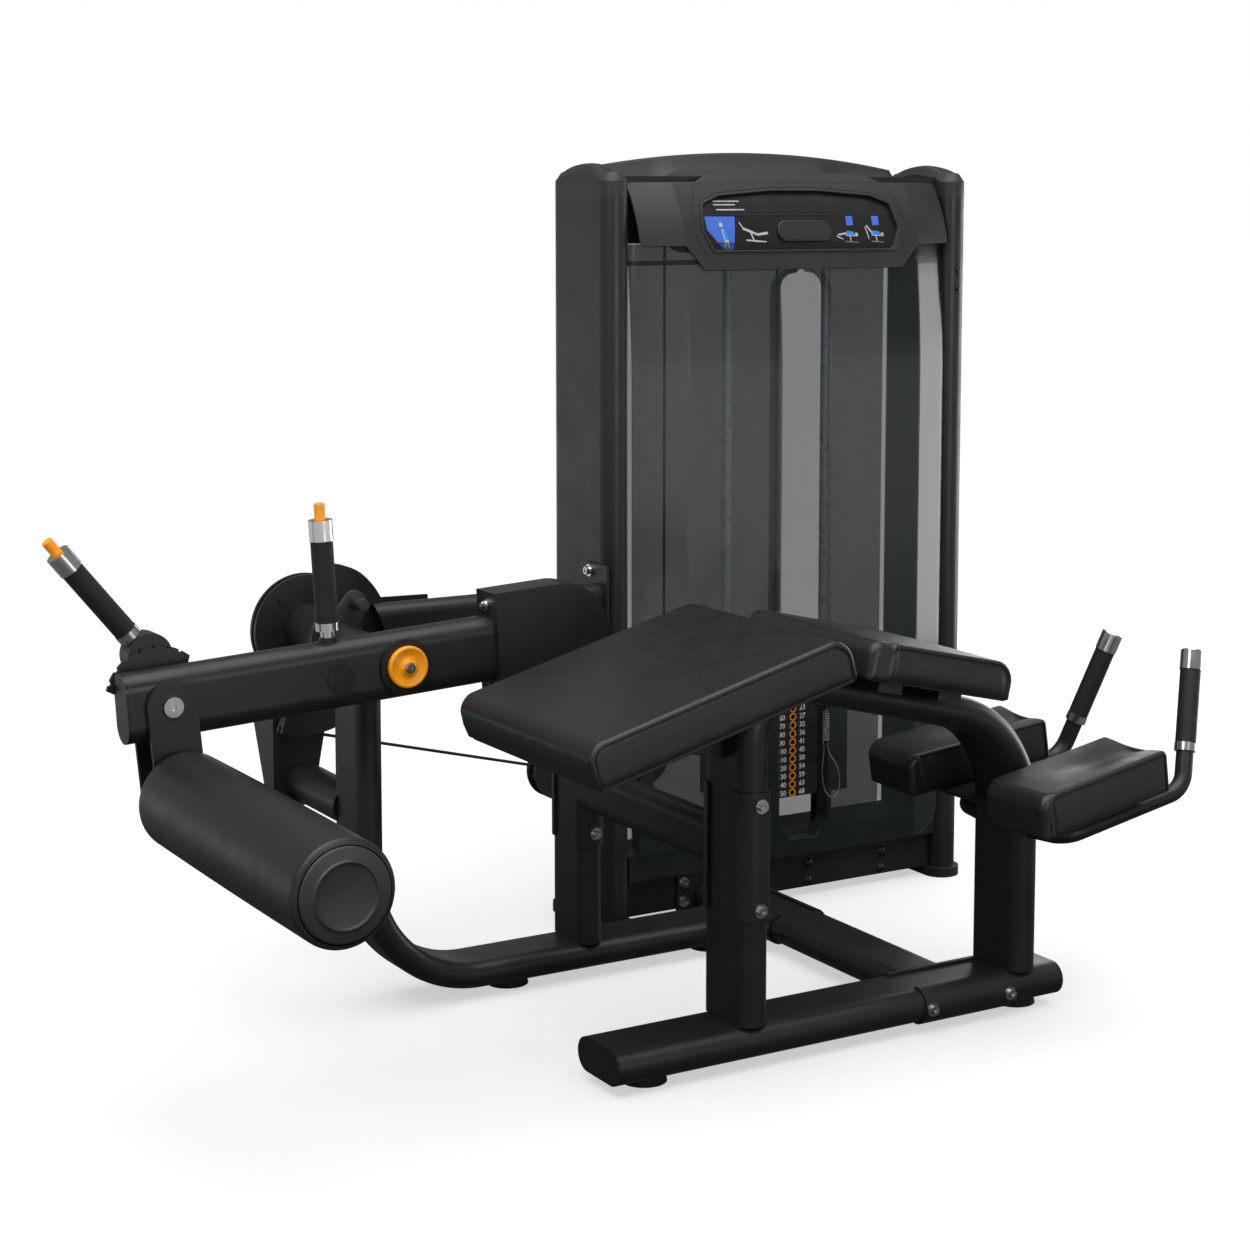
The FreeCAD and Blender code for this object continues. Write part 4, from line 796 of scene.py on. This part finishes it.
def capsule(x, z, half, r, n=16):
    right = [(x + half + r * math.cos(math.pi * k / n - math.pi / 2),
              z + r * math.sin(math.pi * k / n - math.pi / 2))
             for k in range(n + 1)]
    left = [(x - half + r * math.cos(math.pi * k / n + math.pi / 2),
             z + r * math.sin(math.pi * k / n + math.pi / 2))
            for k in range(n + 1)]
    return mm(right + left)


pill_x, pill_z = 655.0, 1418.0
on_panel("panel_pill", [capsule(pill_x, pill_z, 45, 21)], 0.0060, 0.0062, "plastic", edge=0.0018)
# a thin near-black ring on the pill's face paints the shade in its groove
on_panel("panel_pill_groove", [capsule(pill_x, pill_z, 43.5, 17.6), capsule(pill_x, pill_z, 43, 16.6)],
         0.0062, 0.0006, "dark")

# plain pictograms in place of the printed instruction panel
M["print_blue"] = surface("print_blue", (0.050, 0.145, 0.62), (0.065, 0.18, 0.68), 0.4, bump=0.08,
                          bump_scale=500, mottle=30)
M["print_sky"] = surface("print_sky", (0.02, 0.26, 0.72), (0.03, 0.31, 0.80), 0.4, bump=0.08, bump_scale=500,
                         mottle=30)
M["print_grey"] = surface("print_grey", grey(0.42), grey(0.58), 0.45, bump=0.08, bump_scale=500, mottle=40)


def printed(name, outline, key, layer=1):
    on_panel("print_" + name, [mm(outline)], 0.0004 + 0.0003 * layer, 0.0004, key, edge=0.00005)


def disc_outline(x, z, r, n=16):
    return [(x + r * math.cos(2 * math.pi * k / n), z + r * math.sin(2 * math.pi * k / n)) for k in range(n)]


def stroke(x0, z0, x1, z1, width):
    """A straight bar between two points, as a four-cornered outline."""
    dx, dz = x1 - x0, z1 - z0
    size = math.hypot(dx, dz)
    nx, nz = -dz / size * width / 2, dx / size * width / 2
    return [(x0 + nx, z0 + nz), (x1 + nx, z1 + nz), (x1 - nx, z1 - nz), (x0 - nx, z0 - nz)]


def standing_figure(x, z):
    printed("figure_head", disc_outline(x - 6, z + 43, 4.4), "print_grey", 2)
    printed("figure_body", [(x - 5, z + 37), (x + 4, z + 34), (x + 9, z + 12), (x - 2, z + 10)], "print_sky",
            2)
    printed("figure_arm", stroke(x - 5, z + 34, x - 2, z + 14, 3.2), "print_grey", 3)
    printed("figure_thigh", stroke(x + 2, z + 13, x - 3, z - 1, 5.0), "print_grey", 2)
    printed("figure_calf", stroke(x + 5, z + 12, x + 8, z - 3, 4.4), "print_grey", 2)


def small_machine(label, x, z, lifted):
    printed("pad_" + label, stroke(x - 4, z + 14, x + 19, z + 12, 4.2), "print_grey", 1)
    printed("post_" + label, stroke(x + 6, z + 12, x + 8, z, 2.6), "print_grey", 1)
    printed("foot_" + label, stroke(x - 6, z, x + 26, z - 2, 2.4), "print_grey", 1)
    printed("body_" + label, stroke(x - 2, z + 18, x + 17, z + 16, 8.0), "print_sky", 2)
    printed("head_" + label, disc_outline(x + 23, z + 14, 4.0), "print_grey", 2)
    toe = (x - 24, z + 14) if not lifted else (x - 15, z + 33)
    printed("leg_" + label, stroke(x - 3, z + 17, *toe, 3.4), "print_grey", 3)
    printed("lever_" + label, stroke(x - 12, z + 5, toe[0] - 3, toe[1] - 3, 2.4), "print_grey", 1)


printed("field", [(420, 1447.5), (492, 1447.5), (480, 1381), (456, 1381), (421, 1421)], "print_blue")
standing_figure(461, 1388)
for k, x in enumerate((775, 841)):
    printed("tab_%d" % k, [(x - 9, 1447), (x + 8, 1447), (x + 6, 1428), (x - 11, 1428)], "print_blue")
    small_machine(str(k), x - 12, 1395, k == 1)
printed("machine_seat", stroke(506, 1424, 540, 1411, 5.0), "print_grey")
printed("machine_pad", stroke(540, 1411, 566, 1414, 5.0), "print_grey")
printed("machine_leg", stroke(524, 1416, 530, 1400, 3.2), "print_grey")
printed("machine_foot", stroke(512, 1400, 560, 1396, 3.2), "print_grey")
printed("machine_arm", stroke(500, 1436, 510, 1420, 2.6), "print_grey")
for k, (x0, x1, z) in enumerate(((448, 512, 1478), (448, 500, 1471), (452, 520, 1461))):
    printed("note_%d" % k, stroke(x0, z, x1, z, 2.4), "print_grey")


# the crowned back of the header, its top deck and the sloping strip in front of the crown
def crown_height(x):
    return 1.580 - 0.225 * (x - middle_x / 1000 - SX) ** 2


def header_back():
    bm = bmesh.new()
    centre = middle_x / 1000 + SX
    span = 0.3885
    columns = 48
    front_top = hood_y + lean_header(1.535)
    rows = []
    for k in range(columns + 1):
        x = centre - span + 2 * span * k / columns
        off = abs(x - centre)
        crown = crown_height(x)
        shoulder = 1.515 + 0.0195 * smoothstep((0.232 - off) / 0.045)
        fold = max(0.0, off - half_fold / 1000) * wing_rate
        lip = min(front_top, hood_y + lean_header(shoulder)) + fold
        path = [(lip + 0.004, shoulder - 0.006), (lip + 0.005, shoulder - 0.001), (lip + 0.012, shoulder)]
        path += [(y + SY, shoulder + rise) for y, rise in ((0.900, 0.001), (0.912, 0.003), (0.918, 0.008))]
        path += [(y + SY, crown - fall) for y, fall in
                 ((0.936, 0.006), (0.938, 0.0025), (0.942, 0.001), (0.958, 0.0035), (0.9645, 0.010))]
        path += [(0.965 + SY, 1.50), (0.965 + SY, 1.39)]
        rows.append([bm.verts.new((x, y, z)) for y, z in path])
    for a, b in zip(rows[:-1], rows[1:]):
        for i in range(len(a) - 1):
            bm.faces.new((a[i], b[i], b[i + 1], a[i + 1]))
    bmesh.ops.recalc_face_normals(bm, faces=bm.faces)
    mesh = finished(bm, "header_back")
    piece = link("header_back", mesh, "plastic", "frame")
    thick = piece.modifiers.new("wall", "SOLIDIFY")
    thick.thickness = 0.003
    thick.offset = -1
    return piece


header_back()


# ---- smoked shroud -----------------------------------------------------------------------------
def slot_outline(grow=0.0):
    """The window over the plates: rounded top corners under a short neck, and drawn-in lower corners."""
    half = 61.5 + grow
    top = 1332 + grow
    corner = 34 + grow
    points = [(middle_x + 32 + grow * 0.4, 152 - grow), (middle_x + half, 186)]
    for k in range(9):
        a = math.pi / 2 * k / 8
        points.append((middle_x + half - corner + corner * math.cos(a), top - corner + corner * math.sin(a)))
    points.append((middle_x + 19 + grow, top + 2))
    points.append((middle_x + 15 + grow, top + 7))
    points.append((middle_x + 15 + grow, top + 26))
    left = [(2 * middle_x - x, z) for x, z in reversed(points)]
    return mm(points + left)


shroud_half = 388.5
shroud_fold = 285.0
low_corner = 75
shroud_right = [(shroud_half - low_corner, 117)]
for k in range(1, 10):
    a = math.pi / 2 * k / 9
    shroud_right.append((shroud_half - low_corner + low_corner * math.sin(a),
                         117 + low_corner * (1 - math.cos(a))))
shroud_right.append((shroud_half, 1396))
shroud_y = 688 / 1000 + SY
shroud_folds = ((shroud_fold, 0.20), (shroud_fold + 5, 0.22), (shroud_half - 22, 0.1),
                (shroud_half - 10, 0.5))
shroud = flat_panel("shroud_front", [mirrored(shroud_right), slot_outline()], shroud_y, 0.004, "smoked",
                    edge=0.0008, splits=levels(1.08, 1.40, 12))
creased(shroud.data, shroud_folds)
bend(shroud.data, lean_shroud)
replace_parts(shroud, "tower_shroud")
# the front sheet casts no shadow, so that the rods behind it are lit
shroud.visible_shadow = False
walls = frame_piece("shroud_slot_walls", slot_outline(4.0), slot_outline(), shroud_y + 0.003, 729 / 1000 + SY,
                    "smoked", "frame", edge=0.0)
bend(walls.data, lean_shroud)
walls_back = 730 / 1000 + SY
for v in walls.data.vertices:
    v.co.y = min(v.co.y, walls_back)
rear_outline = rounded(mirrored([(shroud_half, 117), (shroud_half, 1388)]), 0.02)
flat_panel("shroud_rear", [rear_outline], 955 / 1000 + SY, 0.004, "smoked", edge=0.0008)

# two small domed plugs in the right upright
for k, z in enumerate((1330, 1292)):
    rings = [(0.0, 0.0065), (-0.002, 0.0062), (-0.0036, 0.0045), (-0.0042, 0.0001)]
    lathe("upright_dome_%d" % k, at(1067, 730.2, z), rings, "gloss", "frame", segments=32,
          close=False)
# the left cap carries a recessed screw; a flat near-black disc stands for it, with the shade of its recess
# painted in
cap_top = at(228, 774, 1549.5)
bm = bmesh.new()
bmesh.ops.create_cone(bm, cap_ends=True, segments=32, radius1=0.008, radius2=0.008, depth=0.0006)
mesh = finished(bm, "cap_screw")
mesh.transform(Matrix.Translation(cap_top))
link("cap_screw", mesh, "dark", "frame", smooth=False)


# ---- stack fronts: rings, holes and numbers ----------------------------------------------
def ring_mesh(bm, x, z, y, r0, r1, depth, n=28):
    rows = []
    for r, yy in ((r1, y), (r1, y - depth), (r0, y - depth), (r0, y)):
        rows.append([bm.verts.new((x + r * math.cos(2 * math.pi * k / n), yy,
                                   z + r * math.sin(2 * math.pi * k / n)))
                     for k in range(n)])
    for a, b in zip(rows[:-1], rows[1:]):
        for k in range(n):
            j = (k + 1) % n
            bm.faces.new((a[k], a[j], b[j], b[k]))


def number_mesh(text, x, z, size, y):
    data = bpy.data.curves.new("digits", "FONT")
    data.body = text
    data.size = size
    data.align_x = "CENTER"
    data.align_y = "CENTER"
    data.resolution_u = 2
    data.extrude = 0.00012
    data.offset = 0.00018
    data.space_character = 0.95
    obj = bpy.data.objects.new("digits", data)
    bpy.context.scene.collection.objects.link(obj)
    mesh = bpy.data.meshes.new_from_object(obj)
    bpy.data.objects.remove(obj)
    mesh.transform(Matrix.Translation((x, y, z)) @ Matrix.Rotation(math.pi / 2, 4, "X"))
    return mesh


kilos = [5, 9, 14, 18, 23, 27, 32, 36, 41, 45, 50, 54, 59, 63, 68]
plate_face = 733 / 1000 + SY
stack_mid = 650 / 1000 + SX
groups = {"stack": range(1, 4), "frame": range(4, 16)}
for body, wanted in groups.items():
    rings_bm = bmesh.new()
    digits_bm = bmesh.new()
    for k in wanted:
        z = (240 + 18 * (15 - k)) / 1000
        ring_mesh(rings_bm, stack_mid, z, plate_face - 0.0001, 0.0056, 0.0082, 0.0006)
        for text, dx in (("%d" % (10 * k), -0.027), ("%d" % kilos[k - 1], 0.024)):
            digits = number_mesh(text, stack_mid + dx, z, 0.0155, plate_face - 0.0003)
            digits_bm.from_mesh(digits)
    bmesh.ops.recalc_face_normals(rings_bm, faces=rings_bm.faces)
    mesh = bpy.data.meshes.new("rings_" + body)
    rings_bm.to_mesh(mesh)
    link("plate_rings_" + body, mesh, "orange", body, smooth=False)
    mesh = bpy.data.meshes.new("numbers_" + body)
    digits_bm.to_mesh(mesh)
    link("plate_numbers_" + body, mesh, "white", body, smooth=False)
    rings_bm.free()
    digits_bm.free()


# ---- knee disc: a dished orange disc; its washer and screw are CAD nodes -------------------
low, high = node_box("knee_marker")
knee_at = Vector(((low.x + high.x) / 2, high.y, (low.z + high.z) / 2))
disc_rings = [(0.0, 0.0001), (0.0, 0.0362), (-0.0040, 0.0370), (-0.0085, 0.0370), (-0.0108, 0.0360),
              (-0.0118, 0.0338), (-0.0113, 0.0315), (-0.0098, 0.0298), (-0.0095, 0.0240), (-0.0086, 0.0226),
              (-0.0086, 0.0152), (-0.0098, 0.0138), (-0.0117, 0.0118), (-0.0119, 0.0001)]
disc_piece = lathe("knee_disc", knee_at, disc_rings, "orange", "lever", close=False)
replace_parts(disc_piece, "knee_marker")


# ---- cable between the top pulley and the stem -------------------------------------------
# It is held by the frame here, so that the stem rises over it. The CAD node is rigid and rides on the stack.
low, high = node_box("cable_drop")
bm = bmesh.new()
drop_radius = (high.x - low.x) / 2
bmesh.ops.create_cone(bm, cap_ends=True, segments=32, radius1=drop_radius, radius2=drop_radius,
                      depth=high.z - low.z)
mesh = finished(bm, "cable_to_stem")
mesh.transform(Matrix.Translation((low + high) / 2))
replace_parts(link("cable_to_stem", mesh, "cable", "frame"), "cable_drop")


# ---- lanyard: a curly stretch under the pin, then a hanging loop ---------------------------
lanyard_x, lanyard_y = 677, 652
coil_top, coil_bottom, coil_turns, coil_radius, steps_in_turn = 425, 363, 17, 6.6, 12
route = [at(lanyard_x, lanyard_y, 432), at(lanyard_x, lanyard_y, 429.5), at(lanyard_x + 2, lanyard_y, 427.5)]
for k in range(int((coil_turns - 0.5) * steps_in_turn) + 1):
    a = 2 * math.pi * k / steps_in_turn
    z = coil_top - (coil_top - coil_bottom) * k / ((coil_turns - 0.5) * steps_in_turn)
    route.append(at(lanyard_x + coil_radius * math.cos(a), lanyard_y + coil_radius * math.sin(a), z))
loop_points = [(-4, 356), (-4, 336), (-9, 304), (-5, 272), (1, 252), (17, 240), (34, 249), (37, 272),
               (33, 298), (22, 320), (4, 341), (4, 360)]
route += [at(lanyard_x + x, lanyard_y, z) for x, z in loop_points]
lanyard = curve_piece("selector_lanyard", route, 0.00110, "lanyard", "pin", resolution=4)
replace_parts(lanyard, "lanyard_coil", "lanyard_wire")


# ---- camera, light, floor -----------------------------------------------------------------
def aim(obj, yaw, pitch):
    forward = Vector((math.sin(yaw) * math.cos(pitch), math.cos(yaw) * math.cos(pitch), -math.sin(pitch)))
    obj.rotation_mode = "QUATERNION"
    obj.rotation_quaternion = forward.to_track_quat("-Z", "Y")


camera_data = bpy.data.cameras.new("camera")
camera = bpy.data.objects.new("camera", camera_data)
bpy.context.scene.collection.objects.link(camera)
camera.location = (-2.2599, -3.7587, 1.4918)
camera_data.sensor_width = 36
camera_data.lens = 70.35
camera_data.shift_y = -0.12
aim(camera, 0.5345, 0.1144)
bpy.context.scene.camera = camera


def by_ray(tree, unseen, seen, output):
    """Show one shader to the camera and let another one light the object."""
    ray = tree.nodes.new("ShaderNodeLightPath")
    pick = tree.nodes.new("ShaderNodeMixShader")
    tree.links.new(ray.outputs["Is Camera Ray"], pick.inputs["Fac"])
    tree.links.new(unseen, pick.inputs[1])
    tree.links.new(seen, pick.inputs[2])
    tree.links.new(pick.outputs["Shader"], tree.nodes[output].inputs["Surface"])


def floor_material():
    """Pale and partly self-lit to the camera; what lights the object is dull close by, paler far out."""
    mat, tree, bsdf = new_material("floor")
    vary(tree, noise_node(tree, 1.2, 4.0), grey(0.90), grey(0.92), bsdf.inputs["Base Color"])
    bsdf.inputs["Roughness"].default_value = 0.8
    bsdf.inputs["Specular IOR Level"].default_value = 0.1
    glow = tree.nodes.new("ShaderNodeEmission")
    glow.inputs["Strength"].default_value = 1.0
    seen = tree.nodes.new("ShaderNodeMixShader")
    seen.inputs["Fac"].default_value = 0.55
    tree.links.new(bsdf.outputs["BSDF"], seen.inputs[1])
    tree.links.new(glow.outputs["Emission"], seen.inputs[2])
    coord = tree.nodes.new("ShaderNodeTexCoord")
    reach = tree.nodes.new("ShaderNodeVectorMath")
    reach.operation = "LENGTH"
    tree.links.new(coord.outputs["Object"], reach.inputs[0])
    span = tree.nodes.new("ShaderNodeMapRange")
    for socket, value in (("From Min", 1.2), ("From Max", 7.0), ("To Min", 0.06), ("To Max", 0.85)):
        span.inputs[socket].default_value = value
    tree.links.new(reach.outputs["Value"], span.inputs["Value"])
    bounce = tree.nodes.new("ShaderNodeEmission")
    tree.links.new(span.outputs["Result"], bounce.inputs["Strength"])
    by_ray(tree, bounce.outputs["Emission"], seen.outputs["Shader"], "Material Output")
    return mat


bm = bmesh.new()
bmesh.ops.create_grid(bm, x_segments=1, y_segments=1, size=60)
floor_mesh = finished(bm, "floor")
floor = bpy.data.objects.new("floor", floor_mesh)
bpy.context.scene.collection.objects.link(floor)
floor.location = (0, 0, -0.0005)
floor_mesh.materials.append(floor_material())


def add_light(data, place, direction):
    obj = bpy.data.objects.new(data.name, data)
    bpy.context.scene.collection.objects.link(obj)
    obj.location = place
    obj.rotation_mode = "QUATERNION"
    obj.rotation_quaternion = Vector(direction).to_track_quat("-Z", "Y")


def area_light(name, place, target, size, power):
    data = bpy.data.lights.new(name, "AREA")
    data.shape = "RECTANGLE"
    data.size, data.size_y = size
    data.energy = power
    add_light(data, place, Vector(target) - Vector(place))


def sun_light(name, direction, strength, spread):
    data = bpy.data.lights.new(name, "SUN")
    data.energy = strength
    data.angle = math.radians(spread)
    add_light(data, (0, 0, 0), direction)


sun_light("overhead", (0.12, 0.22, -1.0), 3.1, 70)
area_light("key", (-3.2, -2.2, 3.0), (0, 0, 0.6), (1.4, 2.2), 34)
area_light("front", (0.3, -4.2, 1.2), (0.2, -0.3, 0.8), (1.2, 1.4), 22)
area_light("side", (3.5, 0.05, 0.80), (0.96, 0.37, 0.95), (1.2, 1.5), 24)
area_light("far_side", (3.6, 2.2, 1.3), (0.9, 0.3, 1.1), (1.4, 2.2), 24)

world = bpy.data.worlds.new("world")
bpy.context.scene.world = world
world.use_nodes = True
background = world.node_tree.nodes["Background"]
backdrop = world.node_tree.nodes.new("ShaderNodeBackground")
for shader, strength in ((background, 0.24), (backdrop, 1.0)):
    shader.inputs["Color"].default_value = (1.0, 1.0, 1.0, 1)
    shader.inputs["Strength"].default_value = strength
by_ray(world.node_tree, background.outputs["Background"], backdrop.outputs["Background"], "World Output")
bpy.context.scene.view_settings.view_transform = "Standard"
